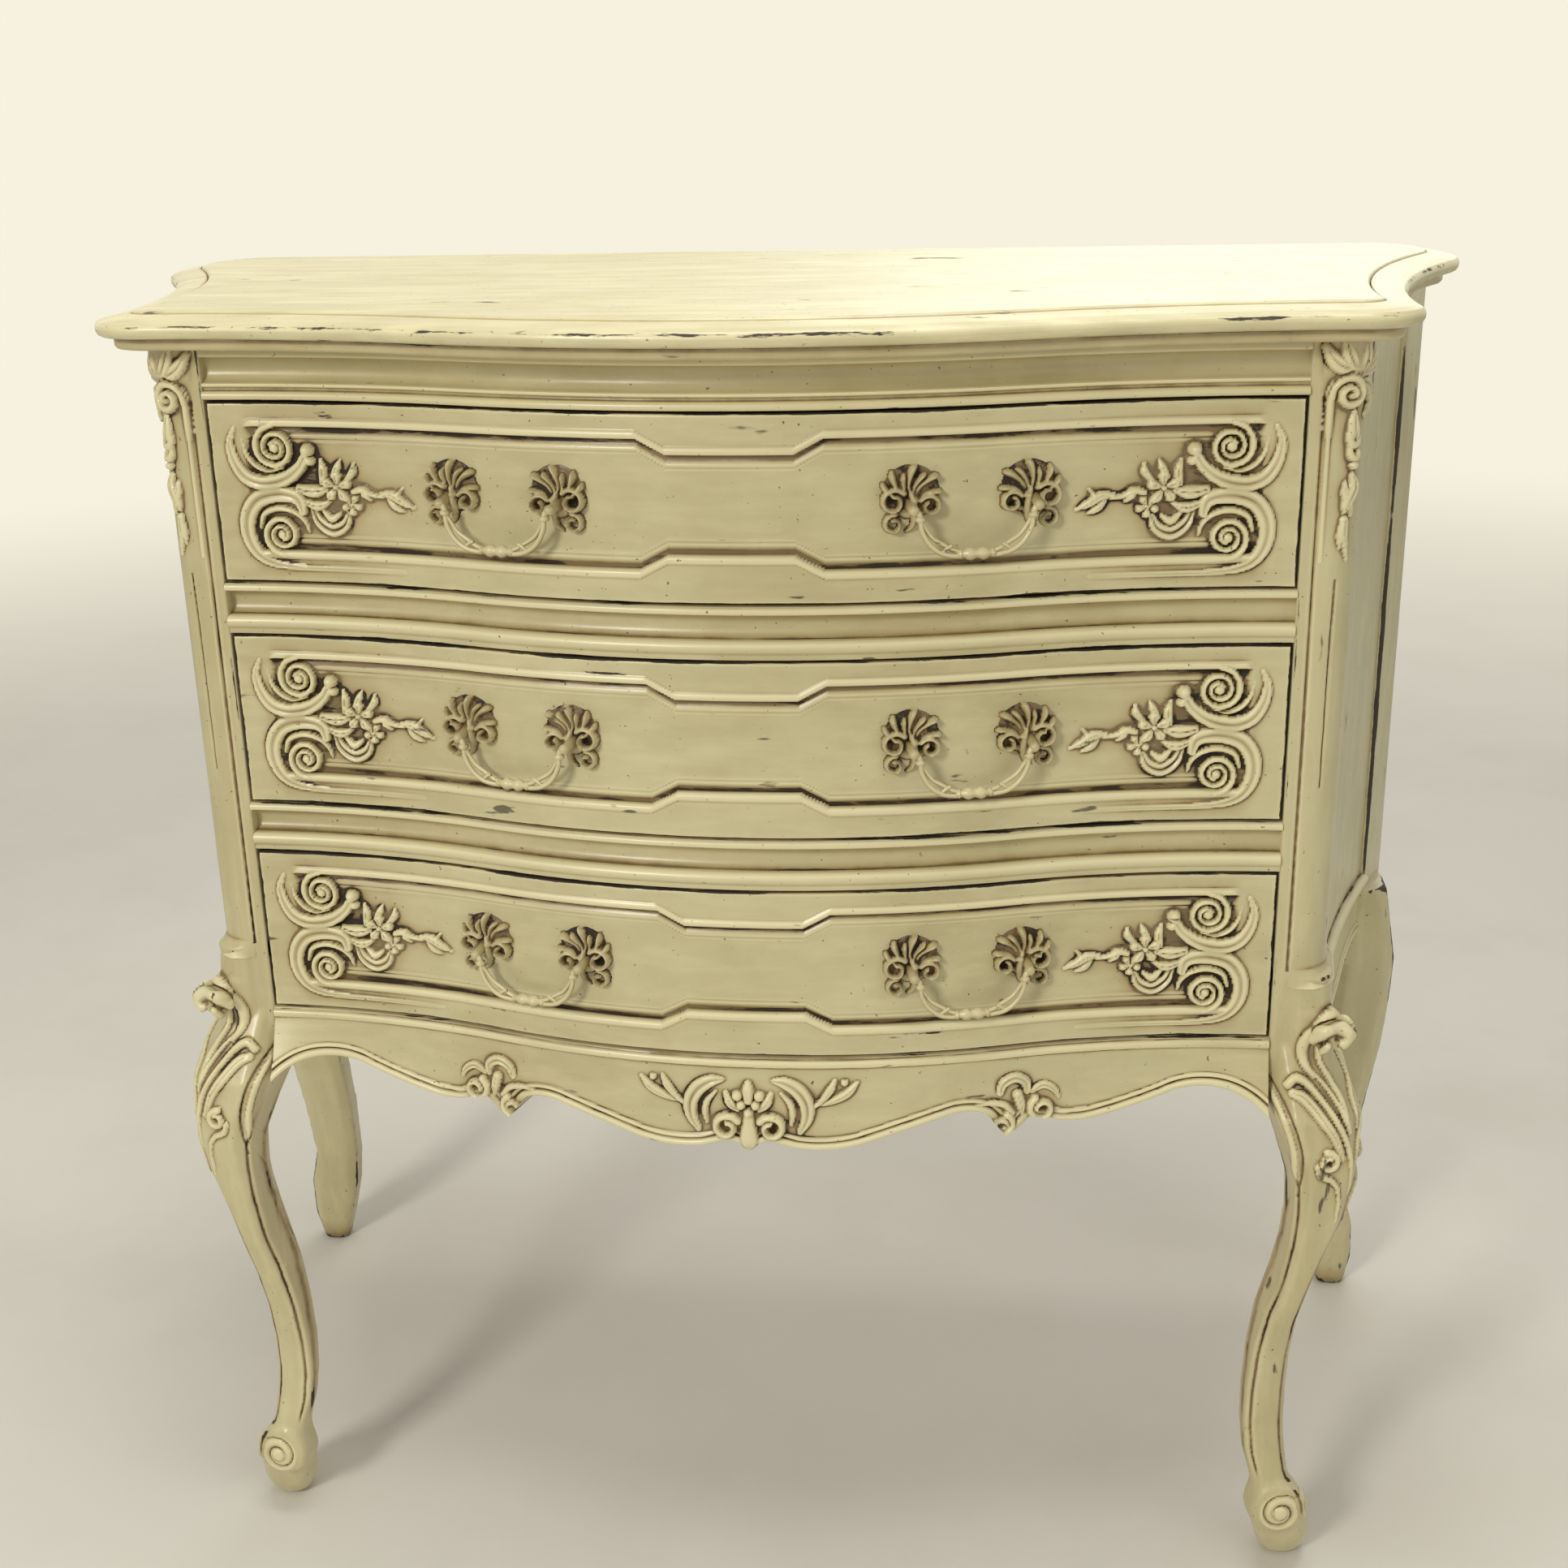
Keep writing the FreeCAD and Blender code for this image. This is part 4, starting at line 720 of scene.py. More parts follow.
def end_carving(deep):
    """Scrolls, leaves and flowers at the right end of a drawer front."""
    floor = -deep
    band = [[309.5, 39.5, 1.1, 1.6], [312.5, 31, 2.4, 2.4], [311, 20.5, 3.4, 2.8],
            [305.5, 11, 4.2, 3.0],
            [297, 6.6, 4.6, 3.2], [287, 6.8, 4.6, 3.2], [277.5, 10, 4.2, 3.2],
            [269.5, 16, 3.6, 3.2],
            [265.5, 22, 3.0, 3.4]]
    low_band = [[270, -11, 2.4, 1.6], [272, -3.5, 4.0, 2.6], [280, -0.6, 4.8, 3.0],
                [290, -1.0, 5.2, 3.2],
                [299, -4.4, 5.2, 3.2], [305, -12, 5.0, 3.2], [307, -21, 4.8, 3.2],
                [305.5, -30.5, 4.4, 3.0],
                [300.5, -38.5, 3.6, 2.6], [292, -43.2, 2.8, 2.2], [278, -45.4, 1.9, 1.8],
                [250, -46, 1.4, 1.4],
                [205, -46, 1.1, 0.9]]
    strokes = [
        (band, HOLLOW, 0),
        (low_band, HOLLOW, 0),
        (volute(284.5, 28.0, 13.8, 90, -2.15, 1.85, 2.2, 0.24), ROUND, 0),
        ([[284.5, 28.0, 3.3, 2.4]], ROUND, 0),
        (volute(284.5, -25.5, 12.4, 270, 1.95, 1.85, 2.4, 0.26), ROUND, 0),
        ([[284.5, -25.5, 3.0, 2.6]], ROUND, 0),
        ([[268, -24, 0.8, 2], [270, -17, 1.6, 3.6], [276, -11.5, 2.0, 4.6], [286, -9.4, 2.2, 4.8],
          [295.5, -13, 2.0, 4.8], [298.6, -21, 1.4, 4.2]], ROUND, floor),
        ([[305, 33, 0.8, 3.8], [303, 24, 1.5, 4.6], [298, 17, 1.7, 5.0], [290, 13.6, 1.4, 4.8],
          [281, 15.6, 1.0, 4.2]], ROUND, floor),
        ([[263.8, 26.5, 4.4, 7.6]], ROUND, floor),
        ([[262.5, 20, 3.2, 6.2]], ROUND, floor),
        ([[271, 3, 3.2, 5.0], [262, 1.5, 4.4, 5.8], [254, 2.8, 2.2, 3.8]], LEAF, floor),
        ([[268, -5, 2.4, 4.4], [260, -7.5, 3.4, 5.0], [253, -5, 1.4, 3]], LEAF, floor),
        ([[264, -9, 1.8, 3.4], [260, -17, 3.8, 5.4], [252, -22, 4.6, 6.0], [244, -19, 3.6, 5.0],
          [240.5, -11.5, 1.6, 3]], HOLLOW, floor),
        ([[257, -10.5, 1.6, 3], [251.5, -15, 2.8, 4.8], [246.5, -12, 1.3, 3]], ROUND, floor),
        ([[256, 7, 2.2, 4.0], [255, 14, 3.0, 4.6], [256.5, 21, 0.8, 2]], LEAF, floor),
        ([[249, 11, 1.8, 3.4], [246, 16, 2.4, 4.0], [244, 21, 0.7, 1.6]], LEAF, floor),
        ([[240, 9, 1.8, 3.4], [236, 14, 2.4, 4.0], [235.5, 19, 0.7, 1.6]], LEAF, floor),
        ([[236, 2, 2.0, 4.2], [230, 3.4, 2.4, 4.6], [224, 0.5, 1.7, 3.6], [217, -0.6, 1.2, 2.8]],
         ROUND, floor),
        ([[229, 0.6, 2.4, 4.6], [225.5, -2.5, 1.4, 3]], ROUND, floor),
        ([[219, 1.5, 0.9, 2], [211, 0.8, 2.9, 4.0], [204, -3.4, 2.6, 3.6], [197, -6.8, 0.7, 1.6]],
         LEAF, floor),
        ([[215, 0.5, 0.9, 2], [210, -5.8, 2.4, 3.6], [204, -9.2, 0.7, 1.6]], LEAF, floor),
        ([[207, 2.2, 1.3, 3.0], [204.5, 4.8, 0.6, 1.5]], ROUND, floor),
    ]
    strokes += petals(247, 4.5, 5, 6.8, 3.3, 4.6, 20, floor)
    strokes += petals(238, -6.2, 5, 4.6, 2.4, 4.2, 50, floor)
    return strokes


def make_drawer_front(level, seed):
    """Carved serpentine drawer front on its bead frame."""
    shape = bpy.context.scene.commode_shape
    node = "drawer_" + level + "_front"
    low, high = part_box(node)
    deep = shape.field_depth / MM
    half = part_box("drawer_" + level + "_side_right")[1].x + MM
    xs = spaced(-half, half, shape.grid)
    zs = spaced(low.z, high.z, shape.grid)
    x_grid, z_grid = np.meshgrid(xs, zs)
    u = x_grid / MM
    v = (z_grid - (low.z + high.z) / 2) / MM
    relief = carved(np.abs(u), v, front_base(u, v, deep), end_carving(deep))
    out = relief * MM * shape.carving_height
    out += wobble() * ripple(x_grid, z_grid * 1.6, BOARD_RIPPLE, seed)
    edge = np.minimum(np.minimum(x_grid - xs[0], xs[-1] - x_grid),
                      np.minimum(z_grid - zs[0], zs[-1] - z_grid))
    out -= edge_round(edge, FRONT_ROUND)
    cavity, wear = relief_marks(out)
    far = np.abs(u)
    cavity += STAIN * climb(far, STAIN_START, STAIN_RISE) * descent(far, STAIN_END, STAIN_FALL)
    bead = bell(np.abs(relief) - 0.5, 0.9) * (far < BEAD_END) * (cavity > 0.1)
    wear = np.maximum(0.72 * bead, 1.3 * bell(edge, 1.4 * MM))
    px, py = wave(x_grid, out)
    front = np.stack([px, py, z_grid], -1)
    back = wave(xs, np.full_like(xs, -BOARD_THICKNESS))
    board = closed_board("carved_front_" + level, front, back, "drawer_" + level,
                         material("cream_front"), (cavity, wear))
    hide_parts(node)


class COMMODE_OT_drawer_fronts(bpy.types.Operator):
    """Three serpentine drawer fronts with bead frames and carved ends"""

    bl_idname = "commode.drawer_fronts"
    bl_label = "Carved drawer fronts"

    def execute(self, context):
        for seed, level in enumerate(LEVELS, FRONT_SEED):
            make_drawer_front(level, seed)
        return {"FINISHED"}


# Apron

EDGE_SEARCH = 26
RAY_START = 10 * MM


def tree_of(node):
    """Search tree of a CAD node's faces."""
    mesh = frame["nodes"][node].data
    corners = [vertex.co for vertex in mesh.vertices]
    return BVHTree.FromPolygons(corners, [tuple(face.vertices) for face in mesh.polygons])


def lower_edge(node, xs, ys):
    """Height of a node's lower edge above each plan point."""
    tree = tree_of(node)
    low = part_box(node)[0].z - RAY_START
    heights = []
    for x, y in zip(xs, ys):
        hit = tree.ray_cast(Vector((x, y, low)), Vector((0, 0, 1)))[0]
        heights.append(hit.z if hit else np.nan)
    heights = np.array(heights)
    known = ~np.isnan(heights)
    return np.interp(np.arange(len(xs)), np.flatnonzero(known), heights[known])


def edge_distance(u, v, edge_u, edge_v):
    """Distance of each point from a line of points, in the same units."""
    distance = np.empty(u.shape)
    for column in range(u.shape[1]):
        near = np.abs(edge_u - u[0, column]) < EDGE_SEARCH
        du = u[:, column][:, None] - edge_u[near]
        dv = v[:, column][:, None] - edge_v[near]
        distance[:, column] = np.sqrt((du ** 2 + dv ** 2).min(1))
    return distance


def apron_carving():
    """Right half of the apron's carving: cartouche, leaf spray and the scrolls at the cusp."""
    return [
        ([[16, 376, 1.6, 2.4], [24, 374.5, 4.2, 3.8], [32, 369, 5.0, 4.6], [37, 360, 4.8, 4.8],
          [37, 349.5, 3.8, 4.2], [32.5, 340, 2.0, 3]], HOLLOW, 0),
        ([[21, 367, 1.0, 1.8], [26.5, 360, 2.0, 3], [28, 352, 1.8, 3], [27, 345, 1.0, 2]], ROUND,
         0),
        (volute(14.5, 343, 8.6, 150, -1.15, 2.8, 5.4, 0.46), ROUND, 0),
        ([[7, 355, 1.6, 2.6], [11.5, 360, 3.2, 4.0], [14.5, 367, 1.4, 2.2]], LEAF, 0),
        ([[7, 365, 3.6, 4.6]], ROUND, 0),
        ([[0, 362, 3.0, 4.4], [0, 369, 3.8, 5.2], [0, 374, 2.0, 3.4]], LEAF, 0),
        ([[4.6, 359, 3.3, 5.8]], ROUND, 0),
        ([[0, 353.5, 3.4, 6.2]], ROUND, 0),
        ([[0, 350, 3.6, 4.2], [0, 342, 5.4, 5.0], [0, 334.5, 6.4, 5.0], [0, 329, 4.6, 3.8]], ROUND,
         0),
        ([[38, 355, 1.0, 1.8], [46, 362, 1.8, 3], [52, 370, 2.6, 3.4], [55, 377, 1.0, 2]], LEAF, 0),
        ([[46, 359, 0.9, 1.6], [55, 363, 2.6, 3.2], [63, 368, 3.0, 3.6], [69, 375, 1.2, 2.2]], LEAF,
         0),
        ([[61, 375, 2.4, 3.4]], ROUND, 0),
        (volute(158.5, 338.5, 7.6, 60, -1.1, 2.7, 5.2, 0.46), ROUND, 0),
        (volute(184, 348, 8.2, 120, 1.15, 2.7, 5.2, 0.46), ROUND, 0),
        ([[137, 352, 1.2, 1.6], [150, 354.5, 1.8, 2.6], [160, 352.5, 2.2, 3.4], [166, 346, 1.8, 3]],
         ROUND, 0),
        ([[158, 360, 1.8, 2.6], [160, 367.5, 3.0, 4.2], [167, 371, 3.4, 4.6], [174, 367, 3.0, 4.2],
          [175, 360, 1.8, 2.8]], HOLLOW, 0),
        ([[169, 359, 3.2, 4.0], [171, 352, 3.0, 3.6], [172, 345, 1.6, 2.4]], LEAF, 0),
        ([[178, 360, 1.6, 2.6], [185, 364, 2.6, 3.6], [192, 360, 2.2, 3], [195, 354, 1.0, 1.8]],
         HOLLOW, 0),
        ([[190, 345, 1.4, 2.4], [200, 343.5, 1.6, 2.2], [212, 345, 1.0, 1.2]], ROUND, 0),
    ]


def lip_profile(d):
    """Double raised lip along a sawn edge, by distance from the edge in millimetres."""
    bead = 3.0 * dome((d - 2.6) / 2.6)
    fine = 1.9 * dome((d - 7.2) / 1.5)
    groove = -1.1 * bell(d - 5.4, 0.5) - 0.4 * bell(d - 9.2, 0.6)
    return bead + fine + groove


KNEE_BLEND_START = 262.0
KNEE_BLEND_REACH = 22.0
KNEE_BLEND_TOP = 6
KNEE_BLEND_DROP = 46
APRON_ROWS = 74
APRON_EYES = ((14.5, 342.6), (158.5, 338.2), (184, 348))
EYE_DEPTH, EYE_RADIUS = 4.2, 2.1
APRON_BEAD = [(0, 0, ""), (384.8, 0, "bead"), (390.4, 0, ""), (392.5, 0, "")]
APRON_BEAD_LINE = 384.2


def knee_blend(u, v):
    """Forward swell of the apron where it runs into the knee, in millimetres."""
    share = climb(np.abs(u), KNEE_BLEND_START, REACH / MM - KNEE_BLEND_START)
    drop = descent(v, APRON_TOP / MM - KNEE_BLEND_TOP, KNEE_BLEND_DROP)
    return KNEE_BLEND_REACH * share ** 2 * (3 - 2 * share) * drop ** 1.1


class COMMODE_OT_apron(bpy.types.Operator):
    """Scrolled apron under the lowest drawer with its carving and raised lip"""

    bl_idname = "commode.apron"
    bl_label = "Carved apron"

    def execute(self, context):
        shape = context.scene.commode_shape
        xs = np.arange(-REACH, REACH + 0.5 * MM, shape.grid)
        wx, wy = wave(xs, np.full_like(xs, -8 * MM))
        edge = lower_edge("apron", np.clip(wx, -REACH + 0.2 * MM, REACH - 0.2 * MM), wy)
        edge = eased(edge, 3)
        rows = np.linspace(0, 1, APRON_ROWS) ** 0.92
        z_grid = edge[None, :] + rows[:, None] * (APRON_TOP - edge[None, :])
        x_grid = np.broadcast_to(xs, z_grid.shape)
        u, v = x_grid / MM, z_grid / MM
        base = lip_profile(edge_distance(u, v, xs / MM, edge / MM))
        top_bead = profile_heights(APRON_BEAD, v.ravel()).reshape(v.shape)
        base = np.maximum(base, top_bead - 0.7 * bell(v - APRON_BEAD_LINE, 0.6))
        relief = carved(np.abs(u), v, base, apron_carving())
        for eye_u, eye_v in APRON_EYES:
            relief -= EYE_DEPTH * pit(np.abs(u), v, eye_u, eye_v, EYE_RADIUS)
        out = relief * MM * shape.carving_height + knee_blend(u, v) * MM
        out = out + wobble() * ripple(x_grid, z_grid * 1.6, BOARD_RIPPLE, APRON_SEED)
        out -= edge_round(APRON_TOP - z_grid, 1.0 * MM)
        cavity, wear = relief_marks(relief * MM)
        top_edge = bell(APRON_TOP - z_grid, 1.2 * MM)
        low_edge = bell(z_grid - edge[None, :], 1.0 * MM)
        wear = np.maximum(wear, np.maximum(top_edge, 0.9 * low_edge))
        px, py = wave(x_grid, out)
        front = np.stack([px, py, z_grid], -1)
        back = wave(xs, np.full_like(xs, -BOARD_THICKNESS))
        board = closed_board("carved_apron", front, back, "cabinet", material("cream_front"),
                             (cavity, wear))
        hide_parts("apron")
        return {"FINISHED"}


# Corner posts

STILE = 12 * MM
POST_ROUND = 22.5 * MM
POST_DEPTH = 48 * MM
SIDE_TURN = math.radians(6.6)
SIDE_RADIUS = 1060 * MM
SIDE_CENTRE_X = REACH + STILE + (POST_ROUND + SIDE_RADIUS) * math.cos(SIDE_TURN)
SIDE_CENTRE_Y = POST_ROUND - (POST_ROUND + SIDE_RADIUS) * math.sin(SIDE_TURN)
POST_LOW = 428 * MM
POST_STEP = 1.0 * MM
POST_ROW = 1.1 * MM
POST_RIPPLE = 20 * MM
PALE_CUTS = 40

# Cut lines of a post in (s, z, half width), each with its depth
POST_CUTS = [
    ([[8.2, 438, 0.85, 1], [8.2, 600, 0.85, 1], [8.0, 775, 0.85, 1], [9.0, 794, 0.85, 1],
      [14, 805, 0.9, 1], [22, 809, 0.9, 1]], 1.7),
    ([[21.5, 688, 0.7, 1], [21, 640, 0.8, 1], [21, 560, 0.6, 1]], 1.2),
    ([[45, 806, 0.7, 1], [45, 700, 0.7, 1], [45, 440, 0.7, 1]], 1.0),
]


def side_line(y, out):
    """Plan point on the right case side, y back from the front line, moved out."""
    radius = SIDE_RADIUS - out
    x = SIDE_CENTRE_X - np.sqrt(radius ** 2 - (y - SIDE_CENTRE_Y) ** 2)
    return x, FRONT_Y + y


def post_line(s, out):
    """Plan point on the face of the right post, s along it from the drawer opening, moved out."""
    turn = math.pi / 2 - SIDE_TURN
    arc_end = STILE + POST_ROUND * turn
    angle = np.clip((s - STILE) / POST_ROUND, 0, turn)
    beyond = np.maximum(s - arc_end, 0)
    along_x, along_y = math.sin(SIDE_TURN), math.cos(SIDE_TURN)
    flat = np.minimum(s, STILE)
    x = REACH + flat + (POST_ROUND + out) * np.sin(angle) + beyond * along_x
    y = POST_ROUND - (POST_ROUND + out) * np.cos(angle) + beyond * along_y
    return x, FRONT_Y + y


def post_carving():
    """Strokes on a front post in (s, z), in millimetres: capital, scroll, husk drop."""
    return [
        ([[24, 808, 3.4, 3], [14, 814, 5.0, 5], [7, 823, 2.2, 3.4]], LEAF, 0),
        ([[26, 807, 3.4, 3], [20, 817, 5.0, 5.6], [17, 827, 2.6, 4]], LEAF, 0),
        ([[28, 807, 3.4, 3], [30, 817, 5.0, 5.8], [30, 827, 2.6, 4]], LEAF, 0),
        ([[30, 808, 3.4, 3], [38, 815, 5.0, 5.4], [43, 825, 2.4, 3.6]], LEAF, 0),
        ([[32, 808, 3.0, 3], [44, 811, 4.2, 4.6], [52, 819, 2.0, 3]], LEAF, 0),
        (volute(22, 796.5, 11, 190, -1.75, 2.9, 4.4), ROUND, 0),
        ([[11.5, 700, 1.0, 0.8], [11.5, 760, 1.3, 1.6], [11.3, 784, 2.0, 2.6],
          [11.0, 796, 2.6, 3.4]], ROUND, 0),
        ([[31, 803, 2.4, 3.4], [38, 799, 3.6, 4.4], [41, 790, 3.2, 4], [36, 783, 1.6, 2.8]], HOLLOW,
         0),
        ([[26, 786, 1.8, 2.4], [26, 780, 3.6, 3.4], [26.5, 774, 4.6, 3.8], [27, 770, 2.0, 2.6]],
         LEAF, 0),
        ([[23, 774, 1.6, 2.6], [24.5, 768.5, 2.4, 4.0], [28, 767.5, 2.4, 4.0], [31, 772, 1.5, 2.6]],
         ROUND, 0),
        ([[24, 766, 1.6, 2.6], [25.5, 760.5, 2.4, 4.2], [29, 760, 2.2, 4.2], [31, 764.5, 1.2, 2.4]],
         ROUND, 0),
        ([[27.5, 755.5, 2.8, 4.6]], ROUND, 0),
        ([[27.5, 750, 1.8, 2.6], [29, 743, 4.2, 4], [25.5, 735, 4.0, 4], [23.5, 729, 1.6, 2.6]],
         LEAF, 0),
        ([[23, 746, 1.2, 2], [23.5, 739, 2.8, 3.2], [27, 732, 2.6, 3.2], [28.5, 726, 1.0, 2]], LEAF,
         0),
        ([[24, 724, 2.6, 3.2], [24, 716, 3.0, 3.2], [26, 707, 1.9, 2.6], [28, 699, 0.7, 1.6]], LEAF,
         0),
        ([[22, 721, 1.2, 2], [21.5, 714, 1.7, 2.4], [22.5, 707, 0.6, 1.4]], ROUND, 0),
    ]


def make_post(side_name, side):
    """Front corner post above the knee, with its capital, scroll and husk drop."""
    shape = bpy.context.scene.commode_shape
    beyond = (POST_DEPTH - POST_ROUND * 0.9) / math.cos(SIDE_TURN)
    length = STILE + POST_ROUND * (math.pi / 2 - SIDE_TURN) + beyond
    ss = spaced(0, length, POST_STEP)
    zs = spaced(POST_LOW, CASE_TOP, POST_ROW)
    s_grid, z_grid = np.meshgrid(ss, zs)
    u, v = s_grid / MM, z_grid / MM
    swell = 4.0 * climb(v, 803, 7) ** 1.5 * climb(u, 6, 14)
    block = 6.0 * descent(v, 440, 12) * climb(u, 8, 14)
    relief = carved(u, v, swell + block, post_carving())
    cuts = sum(incised(u, v, points, depth) for points, depth in POST_CUTS)
    relief -= cuts
    out = relief * MM * shape.carving_height
    out = out + wobble() * ripple(s_grid, z_grid, POST_RIPPLE, POST_SEED + side)
    cavity, wear = relief_marks(out)
    # Front cuts are darkened further into glaze and painted shade; the cut on the side is lifted paler
    # than its hollow would make it, toward the painted highlight.
    cavity = cavity + 0.55 * cuts * (u < PALE_CUTS) - 0.3 * cuts * (u >= PALE_CUTS)
    cavity = np.clip(cavity, -1, 1)
    out = out - edge_round(s_grid, 1.0 * MM)
    wear = np.maximum(wear, bell(s_grid - 1.4 * MM, MM))
    wear = np.maximum(wear, 0.95 * np.exp(-((v - 817) / 7) ** 2 - ((u - 30) / 16) ** 2))
    front = np.stack([*post_line(s_grid, out), z_grid], -1)
    share = ss / ss[-1]
    end_x = front[:, -1, 0].min() - 0.5 * MM
    end_y = front[:, -1, 1].max() + 0.5 * MM
    back = (REACH + (end_x - REACH) * share, np.full_like(ss, end_y))
    post = closed_board("carved_post_" + side_name, front, back, "cabinet",
                        material("cream_upright"), (cavity, wear), side)
    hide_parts("leg_front_" + side_name)


# Legs: even dense meshes over the turned and canted solids, with leaves, lines and scrolls cut in

def even_mesh(node, voxel, passes, cut_above=None):
    """Even dense mesh over a CAD node: points, faces, edges and normals."""
    holder = bpy.data.objects.new("holder_" + node, frame["nodes"][node].data.copy())
    bpy.context.scene.collection.objects.link(holder)
    even = holder.modifiers.new("even", "REMESH")
    even.mode = "VOXEL"
    even.voxel_size = voxel
    soft = holder.modifiers.new("soft", "SMOOTH")
    soft.factor = 0.5
    soft.iterations = passes
    graph = bpy.context.evaluated_depsgraph_get()
    mesh = bpy.data.meshes.new_from_object(holder.evaluated_get(graph))
    bpy.data.objects.remove(holder)
    if cut_above:
        body = bmesh.new()
        body.from_mesh(mesh)
        everything = body.verts[:] + body.edges[:] + body.faces[:]
        cut = bmesh.ops.bisect_plane(body, geom=everything, plane_co=(0, 0, cut_above),
                                     plane_no=(0, 0, 1), clear_outer=True)
        rim = [part for part in cut["geom_cut"] if isinstance(part, bmesh.types.BMEdge)]
        bmesh.ops.edgeloop_fill(body, edges=rim)
        body.to_mesh(mesh)
        body.free()
    count = len(mesh.vertices)
    points, normals = np.empty(count * 3), np.empty(count * 3)
    mesh.vertices.foreach_get("co", points)
    mesh.vertices.foreach_get("normal", normals)
    edges = np.empty(len(mesh.edges) * 2, int)
    mesh.edges.foreach_get("vertices", edges)
    faces = [list(face.vertices) for face in mesh.polygons]
    return points.reshape(-1, 3), faces, edges.reshape(-1, 2), normals.reshape(-1, 3)


def spread(values, edges, passes):
    """Values on a mesh after repeated averaging with their neighbours."""
    count = len(values)
    degree = np.maximum(np.bincount(edges.ravel(), minlength=count), 1)
    for _ in range(passes):
        total = np.bincount(edges[:, 0], values[edges[:, 1]], count)
        total += np.bincount(edges[:, 1], values[edges[:, 0]], count)
        values = (values + total / degree) / 2
    return values


# Marks over a leg's mesh: passes of averaging, the depth or bend of a full mark, and its share
LEG_NEAR_PASSES, LEG_NEAR_DEPTH, LEG_NEAR_SHARE = 4, 0.36 * MM, 0.45
LEG_WIDE_PASSES, LEG_WIDE_DEPTH, LEG_WIDE_SHARE = 60, 1.8 * MM, 0.75
BEND_PASSES, BEND_DEPTH, BEND_SHARE = 12, 0.5 * MM, 0.35
SECTION_STEP = 6 * MM


def mesh_marks(points, normals, edges, relief):
    """Marks over a mesh, from its relief and from how its surface bends: hollows and inward bends get
    glaze with painted shade, raised parts and outward bends a painted highlight, and outward bends
    wear.
    """
    near = (relief - spread(relief, edges, LEG_NEAR_PASSES)) / LEG_NEAR_DEPTH
    wide = (relief - spread(relief, edges, LEG_WIDE_PASSES)) / LEG_WIDE_DEPTH
    around = np.stack([spread(points[:, axis], edges, BEND_PASSES) for axis in range(3)], -1)
    turn = ((points - around) * normals).sum(1) / BEND_DEPTH
    depth = -(LEG_NEAR_SHARE * near + LEG_WIDE_SHARE * wide) - BEND_SHARE * np.clip(turn, -1, 0.4)
    return np.clip(depth, -1, 1), np.clip(turn - 0.35, 0, 0.9)


def section_bounds(points):
    """Smooth lowest and highest x and y of a leg at the height of each of its points."""
    slot = (points[:, 2] / SECTION_STEP).astype(int)
    low = np.full((slot.max() + 1, 2), np.inf)
    high = np.full_like(low, -np.inf)
    for axis in range(2):
        np.minimum.at(low[:, axis], slot, points[:, axis])
        np.maximum.at(high[:, axis], slot, points[:, axis])
    centres = (np.arange(len(low)) + 0.5) * SECTION_STEP
    return [np.interp(points[:, 2], centres, side[:, axis])
            for side in (low, high) for axis in range(2)]


def leg_carving():
    """Strokes on a front leg in (x, z), in millimetres: knee curl, leaves and eye."""
    return [
        ([[355, 404, 3.0, 4.2], [361, 409, 4.4, 5.6], [368, 408, 4.6, 5.8], [372, 402, 3.8, 5.2],
          [369, 397, 2.6, 4.2]], ROUND, 0),
        ([[357, 404, 2.6, 4.2], [350, 397, 3.4, 3.8], [346.5, 388, 3.4, 3.2], [348, 379, 2.8, 2.6],
          [354, 371, 1.2, 1.4]], ROUND, 0),
        ([[360, 398, 1.8, 3.2], [356.5, 390, 1.7, 3.0], [357.5, 380, 1.7, 2.8],
          [364, 369.5, 1.6, 2.6],
          [372, 355, 1.4, 2.2], [377, 338, 0.9, 1.4]], ROUND, 0),
        ([[372, 393, 1.8, 2.6], [374.5, 382, 1.9, 2.6], [378, 368, 1.7, 2.2], [381, 352, 1.0, 1.4]],
         ROUND, 0),
        ([[338, 366, 2.2, 3.4], [342.5, 370.3, 2.6, 4.0], [349.5, 367.5, 2.2, 3.6],
          [358, 359, 1.9, 3.2],
          [368, 346.5, 1.7, 2.8], [375, 333, 1.5, 2.4], [378.5, 316, 1.1, 1.6],
          [378, 296, 0.7, 0.8]], ROUND, 0),
        ([[341, 362, 2.6, 2.2], [348, 359, 3.2, 2.4], [357, 350, 3.2, 2.4], [367, 337, 2.8, 2.0],
          [373, 322, 1.8, 1.4]], LEAF, 0),
        ([[353, 374, 0.9, 1.4], [361, 366, 1.2, 2.2], [370, 354, 1.2, 2.2], [377, 340, 0.8, 1.4]],
         ROUND, 0),
        (volute(364, 320, 6.4, 100, -1.1, 2.4, 3.2, 0.42), ROUND, 0),
        ([[357, 318, 1.6, 2.4], [360, 311, 2.0, 2.6], [368, 306, 1.8, 2.4], [372, 296, 1.2, 1.8],
          [372, 276, 0.7, 1.0]], ROUND, 0),
        ([[310, 372, 1.6, 1.8], [322, 365.5, 1.8, 2.0], [334, 350, 1.9, 2.2], [342, 330, 1.9, 2.2],
          [344.5, 312, 1.8, 2.0], [343, 291, 1.6, 1.8], [340, 264, 1.4, 1.5], [337, 237, 1.2, 1.2],
          [331, 204, 1.0, 0.9]], ROUND, 0),
    ]


FOOT_SPIRAL_X = REACH / MM + 23.0
FOOT_SPIRAL_Z = 53.0
FOOT_SPIRAL_REACH = 15.0
FOOT_EYE = 5.0
FOOT_PITCH = 7.2


